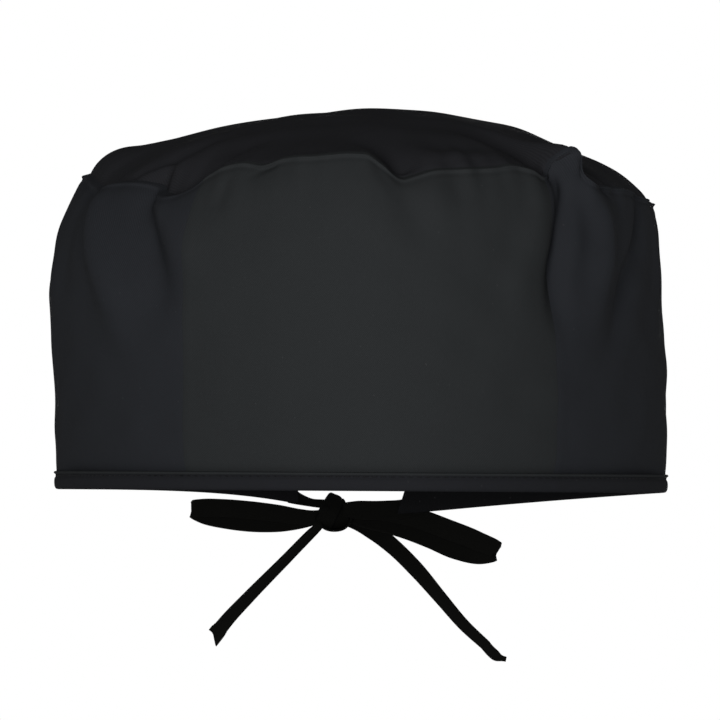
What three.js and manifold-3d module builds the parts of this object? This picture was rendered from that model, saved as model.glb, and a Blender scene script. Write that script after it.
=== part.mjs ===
// A low tie-back chef's cap: a straight band of three panels, a domed crown gathered into it, a narrow
// stitched hem in front, and a casing round the back whose two ties are knotted in a bow under a slit.
// Millimetres. +Z is up, -Y is the wearer's front, +X is the right of someone who faces the cap.
// The origin is the middle of the head opening, in the plane of the front hem.
import * as THREE from "three";
import { mergeVertices } from "three/addons/utils/BufferGeometryUtils.js";
import Module from "manifold-3d";

// ---- driving dimensions ----
const HEM_WIDTH = 186; // outside, ear to ear
const HEM_DEPTH = 208; // outside, brow to nape
const CROWN_TOP = 116; // highest point of the dome above the hem
const SEAM_HEIGHT = 98; // where the crown is sewn to the band
const CLOTH = 1.4; // turned and doubled cloth of the shell
const GAP = 0.3; // between pieces that are sewn face to face

const HEM_HEIGHT = 5; // turned-up hem of the front
const CASING_HEIGHT = 9; // tunnel that carries the ties round the back
const CASING_WALL = 0.6;
const CASING_STANDS_OUT = 1.2; // beyond the band's outer face
const CASING_REACHES_IN = 2;
const CASING_STARTS_AT = 15; // its front end, behind the ear-to-ear line
const RIM_DIP = 9; // how far the ties pull the back rim down at its middle
const DIP_FADES_OUT = 60; // height at which that pull is no longer felt

const LEFT_PANEL_SEAM = [-53.5, -85]; // foot of each upright seam, on the hem line
const RIGHT_PANEL_SEAM = [59, -80.5];
const SLIT_CENTRE = -2.3;
const SLIT_WIDTH = 33.5;
const SLIT_TOP = 42;
const SLIT_BINDING = 3;

const TAPE_WIDTH = 6;
const TAPE_THICK = 0.9;
const KNOT = new THREE.Vector3(-8.3, 108.6, -5.9);
const KNOT_RADIUS = 4.5;
const KNOT_CLEAR = 0.5; // so that loops and tails can turn round the knot
const LOOP_ANGLE = 14; // degrees that the right loop points below level

const AROUND = 72; // facets round the cap
const MEAN_RADIUS = (HEM_WIDTH + HEM_DEPTH) / 4; // the shell is turned at this radius, then made oval
const BIG = 300; // larger than the cap, for cutting tools

// ---- solids: three.js makes the shapes, manifold-3d joins and cuts them ----
const wasm = await Module();
wasm.setup();

function solidOf(geometry) {
  const bare = new THREE.BufferGeometry().setAttribute("position", geometry.getAttribute("position"));
  bare.setIndex(geometry.index);
  const merged = mergeVertices(bare, 1e-4);
  return new wasm.Manifold(
    new wasm.Mesh({
      numProp: 3,
      vertProperties: merged.attributes.position.array,
      triVerts: new Uint32Array(merged.index.array),
    }),
  );
}

function geometryOf(solid) {
  const mesh = solid.getMesh();
  const geometry = new THREE.BufferGeometry();
  geometry.setAttribute("position", new THREE.BufferAttribute(new Float32Array(mesh.vertProperties), 3));
  geometry.setIndex(new THREE.BufferAttribute(new Uint32Array(mesh.triVerts), 1));
  return geometry;
}

// A profile of (radius, height) points turned round Z and made oval to the hem's width and depth.
function turned(profile) {
  const geometry = new THREE.LatheGeometry(
    profile.map(([radius, height]) => new THREE.Vector2(radius, height)),
    AROUND,
  );
  geometry.rotateX(Math.PI / 2);
  geometry.scale(HEM_WIDTH / 2 / MEAN_RADIUS, HEM_DEPTH / 2 / MEAN_RADIUS, 1);
  return solidOf(geometry);
}

// The cap's outer line from hem to crown, as one smooth curve of (radius, height).
const outerLine = new THREE.SplineCurve(
  [
    [MEAN_RADIUS, 0],
    [MEAN_RADIUS, 30],
    [MEAN_RADIUS + 1.5, 60],
    [MEAN_RADIUS - 1, 80],
    [MEAN_RADIUS - 6, 90],
    [MEAN_RADIUS - 12, 96.5],
    [MEAN_RADIUS - 22, 103],
    [MEAN_RADIUS - 45, 109.5],
    [MEAN_RADIUS - 72, 114],
    [0, CROWN_TOP],
  ].map(([radius, height]) => new THREE.Vector2(radius, height)),
).getPoints(27);

// That line moved out (or in, when negative) along its own normals, its ends kept on the hem and the axis.
function lineMoved(out) {
  const last = outerLine.length - 1;
  return outerLine.map((point, i) => {
    const before = outerLine[Math.max(i - 1, 0)];
    const after = outerLine[Math.min(i + 1, last)];
    const along = after.clone().sub(before).normalize();
    if (i === 0) return [point.x + out, 0];
    if (i === last) return [0, point.y + out];
    return [point.x + along.y * out, point.y - along.x * out];
  });
}

// The whole cap as a shell between two offsets from the outer line. The profile starts and ends on the
// axis, so the turned shell closes there.
function shell(outside, inside) {
  return turned([...lineMoved(inside).reverse(), ...lineMoved(outside)]);
}

// A closed oval ring with a rectangular section, measured from the band's outer face at the hem.
function ring(inside, outside, bottom, top) {
  const inner = MEAN_RADIUS + inside;
  const outer = MEAN_RADIUS + outside;
  return turned([
    [inner, bottom],
    [outer, bottom],
    [outer, top],
    [inner, top],
    [inner, bottom],
  ]);
}

function block([x0, x1], [y0, y1], [z0, z1]) {
  const geometry = new THREE.BoxGeometry(x1 - x0, y1 - y0, z1 - z0);
  geometry.translate((x0 + x1) / 2, (y0 + y1) / 2, (z0 + z1) / 2);
  return solidOf(geometry);
}

const EVERYWHERE = [-BIG, BIG];
const slab = (bottom, top) => block(EVERYWHERE, EVERYWHERE, [bottom, top]);

// An upright prism over a plan outline of [x, y] points.
function prism(outline) {
  const shape = new THREE.Shape(outline.map(([x, y]) => new THREE.Vector2(x, y)));
  const geometry = new THREE.ExtrudeGeometry(shape, { depth: 2 * BIG, bevelEnabled: false });
  geometry.translate(0, 0, -BIG);
  return solidOf(geometry);
}

// A strip of the given width that runs out from the middle of the cap through a point on the rim.
function strip([x, y], width) {
  const out = new THREE.Vector2(x, y).normalize().multiplyScalar(BIG);
  const side = new THREE.Vector2(-out.y, out.x).normalize().multiplyScalar(width / 2);
  return prism([
    [side.x, side.y],
    [-side.x, -side.y],
    [out.x - side.x, out.y - side.y],
    [out.x + side.x, out.y + side.y],
  ]);
}

// An outline of [x, z] points pushed through from front to back, between two depths.
function throughCut(shape, front, back) {
  const geometry = new THREE.ExtrudeGeometry(shape, {
    depth: back - front,
    bevelEnabled: false,
    curveSegments: 12,
  });
  geometry.rotateX(Math.PI / 2);
  geometry.translate(0, back, 0);
  return solidOf(geometry);
}

// ---- the pull of the ties: lowers the back rim, more on the right than on the left ----
function drape(solid) {
  const geometry = geometryOf(solid);
  const points = geometry.getAttribute("position");
  for (let i = 0; i < points.count; i++) {
    const [x, y, z] = [points.getX(i), points.getY(i), points.getZ(i)];
    if (y <= 0 || z >= DIP_FADES_OUT) continue;
    const turn = Math.atan2(y / HEM_DEPTH, Math.abs(x - SLIT_CENTRE) / HEM_WIDTH) / (Math.PI / 2);
    const dip = RIM_DIP * turn ** (x > SLIT_CENTRE ? 2 : 6);
    points.setZ(i, z - dip * (1 - z / DIP_FADES_OUT) ** 2);
  }
  return geometry;
}

// ---- cutting tools that several pieces share ----
const leftOfSlit = SLIT_CENTRE - SLIT_WIDTH / 2;
const rightOfSlit = SLIT_CENTRE + SLIT_WIDTH / 2;

function archShape(inset, foot) {
  const half = SLIT_WIDTH / 2 - inset;
  const shape = new THREE.Shape();
  shape.moveTo(SLIT_CENTRE - half, foot);
  shape.lineTo(SLIT_CENTRE + half, foot);
  shape.lineTo(SLIT_CENTRE + half, SLIT_TOP - SLIT_WIDTH / 2);
  shape.absarc(SLIT_CENTRE, SLIT_TOP - SLIT_WIDTH / 2, half, 0, Math.PI, false);
  return shape;
}
const slit = throughCut(archShape(0, -BIG), HEM_DEPTH / 4, BIG);

const far = (point) => [point[0] * 3, point[1] * 3];
const frontWedge = prism([[0, -2 * GAP], far(LEFT_PANEL_SEAM), far(RIGHT_PANEL_SEAM)].reverse());
const leftHalf = prism([
  [-GAP / 2, 0],
  [-GAP / 2, BIG],
  [-BIG, BIG],
  [-BIG, -BIG],
  far(LEFT_PANEL_SEAM),
]);
const rightHalf = prism(
  [
    [GAP / 2, 0],
    [GAP / 2, BIG],
    [BIG, BIG],
    [BIG, -BIG],
    far(RIGHT_PANEL_SEAM),
  ].reverse(),
);
const bodyShell = shell(0, -CLOTH);
const band = bodyShell.intersect(slab(0, SEAM_HEIGHT - GAP / 2));
const behindEars = block(EVERYWHERE, [CASING_STARTS_AT - GAP, BIG], [-BIG, CASING_HEIGHT + GAP]);
const hemZone = slab(-BIG, HEM_HEIGHT + GAP);

// ---- the cap's own pieces ----
const frontPanel = () => band.intersect(frontWedge).subtract(hemZone);

function sidePanel(half) {
  return band.intersect(half).subtract(hemZone).subtract(behindEars).subtract(slit);
}

const crownPanel = () => bodyShell.intersect(slab(SEAM_HEIGHT + GAP / 2, BIG));

function frontHem() {
  const upToCasing = block(EVERYWHERE, [-BIG, CASING_STARTS_AT - GAP], EVERYWHERE);
  return ring(-CLOTH - 0.6, 0.3, 0, HEM_HEIGHT).intersect(upToCasing);
}

// The part of a back ring that lies on one side, from the ear end to the slit.
function backRun(side, atEar, atSlit) {
  return side < 0
    ? block([-BIG, leftOfSlit - atSlit], [atEar, BIG], EVERYWHERE)
    : block([rightOfSlit + atSlit, BIG], [atEar, BIG], EVERYWHERE);
}

function backCasing(side) {
  const outer = ring(-CASING_REACHES_IN, CASING_STANDS_OUT, 0, CASING_HEIGHT);
  const tunnel = ring(
    CASING_WALL - CASING_REACHES_IN,
    CASING_STANDS_OUT - CASING_WALL,
    CASING_WALL,
    CASING_HEIGHT - CASING_WALL,
  );
  return outer.subtract(tunnel).intersect(backRun(side, CASING_STARTS_AT, 0));
}

function tieInCasing(side) {
  const low = (CASING_HEIGHT - TAPE_WIDTH) / 2;
  const middle = (CASING_STANDS_OUT - CASING_REACHES_IN) / 2;
  const tape = ring(middle - TAPE_THICK / 2, middle + TAPE_THICK / 2, low, low + TAPE_WIDTH);
  return tape.intersect(backRun(side, CASING_STARTS_AT + 2, 0));
}

function backOpeningBinding() {
  const foot = CASING_HEIGHT + GAP;
  const arch = throughCut(archShape(GAP, foot), HEM_DEPTH / 4, BIG);
  const hole = throughCut(archShape(GAP + SLIT_BINDING, -BIG), HEM_DEPTH / 4, BIG);
  return shell(0.6, -CLOTH - 0.6).intersect(arch).subtract(hole);
}

// Tapes that cover the raw seam edges lie this far inside the cap's outer face.
const liningTape = (thick) => shell(-CLOTH - GAP, -CLOTH - GAP - thick);
const SEAM_TAPE = 0.8;
const SEAM_TAPE_FOOT = 87; // lower edge of the tape that runs round under the crown seam
const SWEATBAND_TOP = 34;
const SWEATBAND_THICK = 1.6;

const crownSeamBinding = () => liningTape(SEAM_TAPE).intersect(slab(SEAM_TAPE_FOOT, SEAM_HEIGHT - 2));

function panelSeamBinding(seam) {
  return liningTape(SEAM_TAPE)
    .intersect(strip(seam, 8))
    .intersect(slab(SWEATBAND_TOP + 2, SEAM_TAPE_FOOT - GAP));
}

function backSeamBinding() {
  return liningTape(SEAM_TAPE)
    .intersect(block([-4, 4], [0, BIG], [SLIT_TOP + 4, SEAM_TAPE_FOOT - GAP]));
}

function foreheadSweatband() {
  const inside = -CLOTH - 0.6 - GAP;
  const tooFarBack = block(EVERYWHERE, [-30, BIG], EVERYWHERE);
  return ring(inside - SWEATBAND_THICK, inside, 1, SWEATBAND_TOP).subtract(tooFarBack);
}

// Dense thread bars that stand on the outer face where the seams take load.
const THREAD_BAR = 0.6;

function casingBarTack(side) {
  const inside = CASING_STANDS_OUT + GAP;
  const across = side < 0 ? [-BIG, 0] : [0, BIG];
  const along = [CASING_STARTS_AT + 1, CASING_STARTS_AT + 2.6];
  return ring(inside, inside + THREAD_BAR, 1, CASING_HEIGHT - 1).intersect(block(across, along, EVERYWHERE));
}

function slitBarTack() {
  const bar = block([SLIT_CENTRE - 4, SLIT_CENTRE + 4], [0, BIG], [SLIT_TOP + 0.6, SLIT_TOP + 2]);
  return shell(GAP + THREAD_BAR, GAP).intersect(bar);
}

// ---- the bow ----
// A flat tape in an upright plane that faces front and back, along a line of [x, z] points.
function flatTape(line, widths, front) {
  const curve = new THREE.SplineCurve(line.map(([x, z]) => new THREE.Vector2(x, z)));
  const steps = 4 * (line.length - 1);
  const upper = [];
  const lower = [];
  for (let i = 0; i <= steps; i++) {
    const at = curve.getPoint(i / steps);
    const along = curve.getTangent(i / steps);
    const half = THREE.MathUtils.lerp(widths[0], widths[1], i / steps) / 2;
    upper.push(new THREE.Vector2(at.x - along.y * half, at.y + along.x * half));
    lower.push(new THREE.Vector2(at.x + along.y * half, at.y - along.x * half));
  }
  return throughCut(new THREE.Shape([...upper, ...lower.reverse()]), front, front + TAPE_THICK);
}

// A clear space round the knot, from front to back: what leaves the knot is cut away there.
function offTheKnot(solid) {
  const radius = KNOT_RADIUS + KNOT_CLEAR;
  const room = new THREE.CylinderGeometry(radius, radius, 2 * BIG, 32);
  room.translate(KNOT.x, 0, KNOT.z);
  return solid.subtract(solidOf(room));
}

const LEAD_FRONT = 102.3; // the leads' faces toward the wearer
const LEFT_TAIL_FRONT = KNOT.y + 3.8; // the tails hang behind the loops, one behind the other
const RIGHT_TAIL_FRONT = LEFT_TAIL_FRONT + TAPE_THICK + GAP;

// The wrapped middle of the bow: a round barrel about a front-to-back line, so all that leaves it can turn.
function bowKnot() {
  const front = LEAD_FRONT - 0.7 - KNOT.y;
  const back = RIGHT_TAIL_FRONT + TAPE_THICK + 0.7 - KNOT.y;
  const rim = 1.2;
  const profile = [
    [0, front],
    [KNOT_RADIUS - rim, front],
    [KNOT_RADIUS, front + rim],
    [KNOT_RADIUS, back - rim],
    [KNOT_RADIUS - rim, back],
    [0, back],
  ];
  const geometry = new THREE.LatheGeometry(
    profile.map(([radius, height]) => new THREE.Vector2(radius, height)),
    24,
  );
  geometry.translate(KNOT.x, KNOT.y, KNOT.z);
  return geometry;
}

// Each tie leaves its casing at the slit and runs to the knot, a little slack.
const betweenCasings = block([leftOfSlit + GAP, rightOfSlit - GAP], EVERYWHERE, EVERYWHERE);

function lead(line, widths) {
  return flatTape(line, widths, LEAD_FRONT).intersect(betweenCasings);
}

const rightLeadLine = [
  [rightOfSlit + 2, -3],
  [6, -5.9],
  [KNOT.x + 2, KNOT.z - 0.6],
];
const leftLeadLine = [
  [leftOfSlit - 2, -1.2],
  [-15.5, -3.9],
  [KNOT.x - 2, KNOT.z + 0.4],
];

// A bow loop: the tape goes out and comes back round an open end. It is drawn in plan and pushed
// upright by its own width, and its far side hangs lower than its near side.
function bowLoop(side, length, angle, low, lean) {
  const half = 3.1; // the loop's widest half opening, front to back
  const outline = (inset) => {
    const shape = new THREE.Path();
    const start = KNOT_RADIUS + inset; // just inside the space that the knot clears
    const turn = length - half;
    shape.moveTo(start, -1.6 + inset);
    shape.bezierCurveTo(length * 0.3, -half + inset, length * 0.6, -half + inset, turn, -half + inset);
    shape.absarc(turn, 0, half - inset, -Math.PI / 2, Math.PI / 2, false);
    shape.bezierCurveTo(length * 0.6, half - inset, length * 0.3, half - inset, start, 1.6 - inset);
    return shape.getPoints(6);
  };
  const shape = new THREE.Shape(outline(0));
  shape.holes.push(new THREE.Path(outline(0.6)));
  const geometry = new THREE.ExtrudeGeometry(shape, { depth: TAPE_WIDTH, bevelEnabled: false });
  geometry.translate(0, 0, -TAPE_WIDTH / 2 + low);
  const leaning = new THREE.Matrix4().set(1, 0, 0, 0, 0, 1, 0, 0, 0, -lean * side, 1, 0, 0, 0, 0, 1);
  geometry.applyMatrix4(leaning);
  geometry.rotateY(THREE.MathUtils.degToRad(angle));
  if (side < 0) geometry.rotateZ(Math.PI);
  geometry.translate(KNOT.x, KNOT.y, KNOT.z);
  return solidOf(geometry);
}

const leftTailLine = [
  [KNOT.x, KNOT.z],
  [-15.5, -13.5],
  [-26.6, -25.3],
  [-35.3, -33.6],
  [-41.3, -40.1],
  [-46.2, -46.6],
];
const rightTailLine = [
  [KNOT.x, KNOT.z - 2],
  [-2.5, -10.2],
  [3.4, -13.5],
  [11.7, -19.8],
  [19.9, -28],
  [28.5, -37.1],
  [36.1, -45.4],
  [40.6, -50.1],
];

// The stitched end of a tail: the tape folded back on itself, a little thicker and wider.
function tieTip(line, width, length, tailFront) {
  const end = new THREE.Vector2(...line.at(-1));
  const along = end.clone().sub(new THREE.Vector2(...line.at(-2))).normalize();
  const from = end.clone().addScaledVector(along, GAP);
  const to = from.clone().addScaledVector(along, length);
  const tip = new THREE.SplineCurve([from, to]);
  const across = new THREE.Vector2(-along.y, along.x).multiplyScalar(width / 2);
  const shape = new THREE.Shape([
    tip.getPoint(0).add(across),
    tip.getPoint(1).add(across),
    tip.getPoint(1).sub(across),
    tip.getPoint(0).sub(across),
  ]);
  return throughCut(shape, tailFront - 0.4, tailFront + TAPE_THICK + 0.4);
}

// ---- materials ----
const cloth = (color, roughness) => new THREE.MeshStandardMaterial({ color, roughness, metalness: 0 });
const TWILL = cloth(0x2d2f31, 0.85);
const CROWN_TWILL = cloth(0x28292b, 0.85);
const TIE_TAPE = cloth(0x0a0a08, 0.7);
const LINING_TAPE = cloth(0x1b1c1e, 0.9);
const TOWELLING = cloth(0x222326, 0.95);
const THREAD = cloth(0x16171a, 0.6);

// ---- the assembly ----
const cap = new THREE.Group();

function add(name, piece, material) {
  const geometry = piece.isBufferGeometry ? piece : geometryOf(piece);
  const mesh = new THREE.Mesh(geometry, material);
  mesh.name = name;
  cap.add(mesh);
}

add("front_panel", frontPanel(), TWILL);
add("left_side_panel", drape(sidePanel(leftHalf)), TWILL);
add("right_side_panel", drape(sidePanel(rightHalf)), TWILL);
add("crown_panel", crownPanel(), CROWN_TWILL);
add("front_hem", drape(frontHem()), TWILL);
add("forehead_sweatband", foreheadSweatband(), TOWELLING);
add("crown_seam_binding", crownSeamBinding(), LINING_TAPE);
add("left_panel_seam_binding", panelSeamBinding(LEFT_PANEL_SEAM), LINING_TAPE);
add("right_panel_seam_binding", panelSeamBinding(RIGHT_PANEL_SEAM), LINING_TAPE);
add("back_seam_binding", drape(backSeamBinding()), LINING_TAPE);
add("back_opening_binding", drape(backOpeningBinding()), LINING_TAPE);
add("slit_bar_tack", drape(slitBarTack()), THREAD);
for (const [name, side] of [
  ["left", -1],
  ["right", 1],
]) {
  add(name + "_back_casing", drape(backCasing(side)), TWILL);
  add(name + "_tie_in_casing", drape(tieInCasing(side)), TIE_TAPE);
  add(name + "_casing_bar_tack", drape(casingBarTack(side)), THREAD);
}

add("bow_knot", bowKnot(), TIE_TAPE);
add("left_tie_lead", offTheKnot(lead(leftLeadLine, [TAPE_WIDTH - 0.6, TAPE_WIDTH - 1.2])), TIE_TAPE);
add("right_tie_lead", offTheKnot(lead(rightLeadLine, [TAPE_WIDTH, TAPE_WIDTH - 0.6])), TIE_TAPE);
add("left_bow_loop", offTheKnot(bowLoop(-1, 46, 0, -3, 0.8)), TIE_TAPE);
add("right_bow_loop", offTheKnot(bowLoop(1, 54, LOOP_ANGLE, -1, 0.8)), TIE_TAPE);
add("left_tie_tail", offTheKnot(flatTape(leftTailLine, [3.6, 4.6], LEFT_TAIL_FRONT)), TIE_TAPE);
add("right_tie_tail", offTheKnot(flatTape(rightTailLine, [5, 3.6], RIGHT_TAIL_FRONT)), TIE_TAPE);
add("left_tie_tip", tieTip(leftTailLine, 4.6, 2.6, LEFT_TAIL_FRONT), TIE_TAPE);
add("right_tie_tip", tieTip(rightTailLine, 5, 2, RIGHT_TAIL_FRONT), TIE_TAPE);

export default cap;
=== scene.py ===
"""A low black tie-back chef's cap: twill shell with a gathered crown, stitched hem, and a bow of flat tape.

Lengths in this file are millimetres until MM turns them into metres. The frame is the CAD model's:
+Z up, -Y the wearer's front, the origin in the middle of the head opening.
"""
import math
import bmesh
import bpy
import numpy as np
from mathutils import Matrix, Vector


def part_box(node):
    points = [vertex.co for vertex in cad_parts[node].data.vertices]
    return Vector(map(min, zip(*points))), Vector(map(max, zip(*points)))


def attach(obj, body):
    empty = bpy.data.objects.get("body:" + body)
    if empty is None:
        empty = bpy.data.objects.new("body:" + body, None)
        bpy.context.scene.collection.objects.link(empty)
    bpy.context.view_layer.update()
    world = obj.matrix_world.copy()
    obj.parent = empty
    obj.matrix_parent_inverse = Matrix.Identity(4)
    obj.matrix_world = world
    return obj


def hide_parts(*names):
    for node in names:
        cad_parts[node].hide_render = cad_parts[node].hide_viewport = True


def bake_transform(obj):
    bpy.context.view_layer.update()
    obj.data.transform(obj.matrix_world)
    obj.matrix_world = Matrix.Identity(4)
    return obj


MM = 0.001
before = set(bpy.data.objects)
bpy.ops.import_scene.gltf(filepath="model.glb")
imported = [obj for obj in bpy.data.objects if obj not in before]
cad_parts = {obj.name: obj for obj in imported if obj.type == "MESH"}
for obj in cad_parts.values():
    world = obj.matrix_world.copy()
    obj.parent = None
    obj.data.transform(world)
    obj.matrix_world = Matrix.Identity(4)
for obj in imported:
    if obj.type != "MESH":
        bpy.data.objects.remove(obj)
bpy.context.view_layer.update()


# ---- camera ---------------------------------------------------------------------------------------
def make_camera():
    distance, seen_width = 6000, 219.2
    camera = bpy.data.objects.new("Camera", bpy.data.cameras.new("Camera"))
    bpy.context.scene.collection.objects.link(camera)
    camera.data.lens = camera.data.sensor_width * distance / seen_width
    camera.data.clip_end = 100
    camera.location = Vector((-0.5, -distance, 1)) * MM
    aim = Vector((-0.5, 0, 39.9)) * MM
    camera.rotation_euler = (aim - camera.location).to_track_quat("-Z", "Y").to_euler()
    camera.rotation_euler.rotate_axis("Z", math.radians(0.35))
    bpy.context.scene.camera = camera


make_camera()


# ---- small tools ----------------------------------------------------------------------------------
def smooth_curve(knots, at):
    """Values of the smooth line through knots (rows of t, value...) at the parameters at."""
    knots = np.asarray(knots, float)
    t, values = knots[:, 0], knots[:, 1:]
    slopes = np.gradient(values, t, axis=0)
    at = np.clip(np.asarray(at, float), t[0], t[-1])
    k = np.clip(np.searchsorted(t, at, side="right") - 1, 0, len(t) - 2)
    span = (t[k + 1] - t[k])[..., None]
    s = ((at - t[k])[..., None]) / span
    h00, h10 = 2 * s**3 - 3 * s**2 + 1, s**3 - 2 * s**2 + s
    h01, h11 = -2 * s**3 + 3 * s**2, s**3 - s**2
    out = h00 * values[k] + h10 * span * slopes[k] + h01 * values[k + 1] + h11 * span * slopes[k + 1]
    return out[..., 0] if values.shape[1] == 1 else out


def through(points, count):
    """A smooth line of count points, evenly spaced by chord, through the given points."""
    points = np.asarray(points, float)
    t = np.r_[0, np.cumsum(np.linalg.norm(np.diff(points, axis=0), axis=1))]
    fine = smooth_curve(np.c_[t, points], np.linspace(0, t[-1], 40 * len(points)))
    s = np.r_[0, np.cumsum(np.linalg.norm(np.diff(fine, axis=0), axis=1))]
    even = np.linspace(0, s[-1], count)
    return np.stack([np.interp(even, s, fine[:, i]) for i in range(points.shape[1])], axis=1)


def unit(v):
    return v / np.maximum(np.linalg.norm(v, axis=-1, keepdims=True), 1e-9)


def step(low, high, x):
    s = np.clip((x - low) / (high - low), 0, 1)
    return s * s * (3 - 2 * s)


def link(name, vertices, faces, uvs=None):
    """A smooth-shaded object from vertices in millimetres and per-corner uvs in millimetres."""
    mesh = bpy.data.meshes.new(name)
    mesh.from_pydata((np.asarray(vertices) * MM).tolist(), [], [list(map(int, f)) for f in faces])
    if uvs is not None:
        layer = mesh.uv_layers.new(name="Cloth")
        corners = np.empty(len(mesh.loops), dtype=np.int32)
        mesh.loops.foreach_get("vertex_index", corners)
        layer.data.foreach_set("uv", (np.asarray(uvs)[corners] * MM).astype(np.float32).ravel())
    mesh.polygons.foreach_set("use_smooth", [True] * len(mesh.polygons))
    mesh.update()
    mesh.set_sharp_from_angle(angle=math.radians(55))
    piece = bpy.data.objects.new(name, mesh)
    bpy.context.scene.collection.objects.link(piece)
    return piece


def grid_normals(grid, closed=False):
    """Unit normals of a grid of points: columns run to the right and rows run up, seen from outside."""
    if closed:
        across = np.roll(grid, -1, axis=1) - np.roll(grid, 1, axis=1)
    else:
        across = np.gradient(grid, axis=1)
    return unit(np.cross(across, np.gradient(grid, axis=0)))


def cloth_from_grid(name, grid, uv, thickness, closed=False, normals=None):
    """A closed piece of cloth: the grid is its outer face, and its inner face lies thickness inside."""
    rows, columns = grid.shape[:2]
    normals = grid_normals(grid, closed) if normals is None else normals
    inner = grid - normals * thickness
    vertices = np.concatenate([grid.reshape(-1, 3), inner.reshape(-1, 3)])
    uvs = np.concatenate([uv.reshape(-1, 2)] * 2)
    index = np.arange(rows * columns).reshape(rows, columns)
    if closed:
        index = np.c_[index, index[:, :1]]
    a, b, c, d = index[:-1, :-1], index[:-1, 1:], index[1:, 1:], index[1:, :-1]
    outer_faces = np.stack([a, b, c, d], axis=-1).reshape(-1, 4)
    under = rows * columns
    faces = [outer_faces, outer_faces[:, ::-1] + under]
    low, high = index[0], index[-1]
    faces.append(np.stack([low[1:], low[:-1], low[:-1] + under, low[1:] + under], axis=-1))
    faces.append(np.stack([high[:-1], high[1:], high[1:] + under, high[:-1] + under], axis=-1))
    if not closed:
        left, right = index[:, 0], index[:, -1]
        faces.append(np.stack([left[:-1], left[1:], left[1:] + under, left[:-1] + under], axis=-1))
        faces.append(np.stack([right[1:], right[:-1], right[:-1] + under, right[1:] + under], axis=-1))
    return link(name, vertices, np.concatenate(faces), uvs)


def band_of_rings(name, rings, uv):
    """A piece skinned over rings of points, one after another, with its two ends closed."""
    count, k = rings.shape[:2]
    index = np.arange(count * k).reshape(count, k)
    following = np.roll(index, -1, axis=1)
    quads = np.stack([index[:-1], index[1:], following[1:], following[:-1]], axis=-1).reshape(-1, 4)
    faces = [list(q) for q in quads] + [list(index[0]), list(index[-1][::-1])]
    piece = link(name, rings.reshape(-1, 3), faces, uv.reshape(-1, 2))
    face_out(piece)
    return piece


def sweep(name, line, side, out, section):
    """A closed band: section is a loop of (across, thick) points, carried along line by side and out."""
    line, section = np.asarray(line, float), np.asarray(section, float)
    rings = line[:, None] + side[:, None] * section[None, :, :1] + out[:, None] * section[None, :, 1:]
    along = np.r_[0, np.cumsum(np.linalg.norm(np.diff(line, axis=0), axis=1))]
    uv = np.stack(np.broadcast_arrays(along[:, None], section[None, :, 0]), axis=-1)
    return band_of_rings(name, rings, uv)


def face_out(piece):
    working = bmesh.new()
    working.from_mesh(piece.data)
    bmesh.ops.recalc_face_normals(working, faces=working.faces)
    working.to_mesh(piece.data)
    working.free()


# ---- the cap's form: base surface, seam line, folds ----------------------------------------------
hem_low, hem_high = (np.array(corner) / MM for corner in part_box("front_hem"))
HALF_WIDTH = (hem_high[0] - hem_low[0]) / 2 - 0.3
HALF_DEPTH = -hem_low[1] - 0.3
GIRTH = math.pi * (HALF_WIDTH + HALF_DEPTH)  # near enough for an oval this round
CLOTH = 0.55
SEAM_TUCK = 1.5
HEM_TOP = 5.2
CASING_STARTS_AT = 15
EAR_ANGLE = math.degrees(math.acos(-CASING_STARTS_AT / HALF_DEPTH))

# How far the wall leans in from the hem's oval, and its height, at equal steps from hem to crown seam.
LEFT_WALL = [(0.1, 0), (-0.1, 16), (-0.4, 32), (-1.5, 46), (-2.4, 61), (-0.1, 75), (4.0, 87), (9.2, 97)]
RIGHT_WALL = [(0.2, 0), (-0.1, 16), (0.2, 32), (0.9, 46), (1.9, 60), (2.7, 71), (3.5, 81), (5.2, 88.8)]
FRONT_WALL = [(0, 0), (0.1, 16), (0.1, 32), (0.2, 48), (0.6, 64), (1.8, 79), (4.6, 91), (9.5, 100.5)]
BACK_WALL = [(0, 0), (-0.4, 16), (-0.8, 32), (-0.5, 47), (0.6, 62), (2.8, 76), (6, 88), (10.5, 97)]

# Height of the crown seam round the cap: angle from the front in degrees, height.
SEAM_LINE = [
    (-180, 96), (-166, 97.5), (-152, 94), (-139, 97), (-124, 94.5), (-108, 97), (-97, 96.6), (-88, 96),
    (-80, 93.6), (-73, 90.8), (-68, 90.6), (-63.5, 92.2), (-56.5, 93.4), (-52.6, 92.7), (-48.5, 90.2),
    (-43, 89), (-37.9, 91.6), (-33.9, 95.3), (-30, 97.7), (-25.5, 98.9), (-21, 98.2), (-16.8, 100.1),
    (-9.6, 101), (-1.3, 101.8), (1.1, 101.4), (3.6, 98.9), (8.4, 94.2), (10.6, 95), (14, 96.6), (20, 97.3),
    (28.5, 98), (32, 98.7), (36, 97.4), (40.2, 95.6), (41.6, 97), (42.7, 102), (44, 104.2), (45.4, 102.6),
    (47.2, 97.2), (49.6, 94), (53, 93.2), (60, 92.6), (68, 91.9), (78, 89.8), (90, 88.6), (102, 90.5),
    (114, 94.5),
    (127, 94), (140, 97), (153, 95), (167, 98), (180, 96),
]

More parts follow.
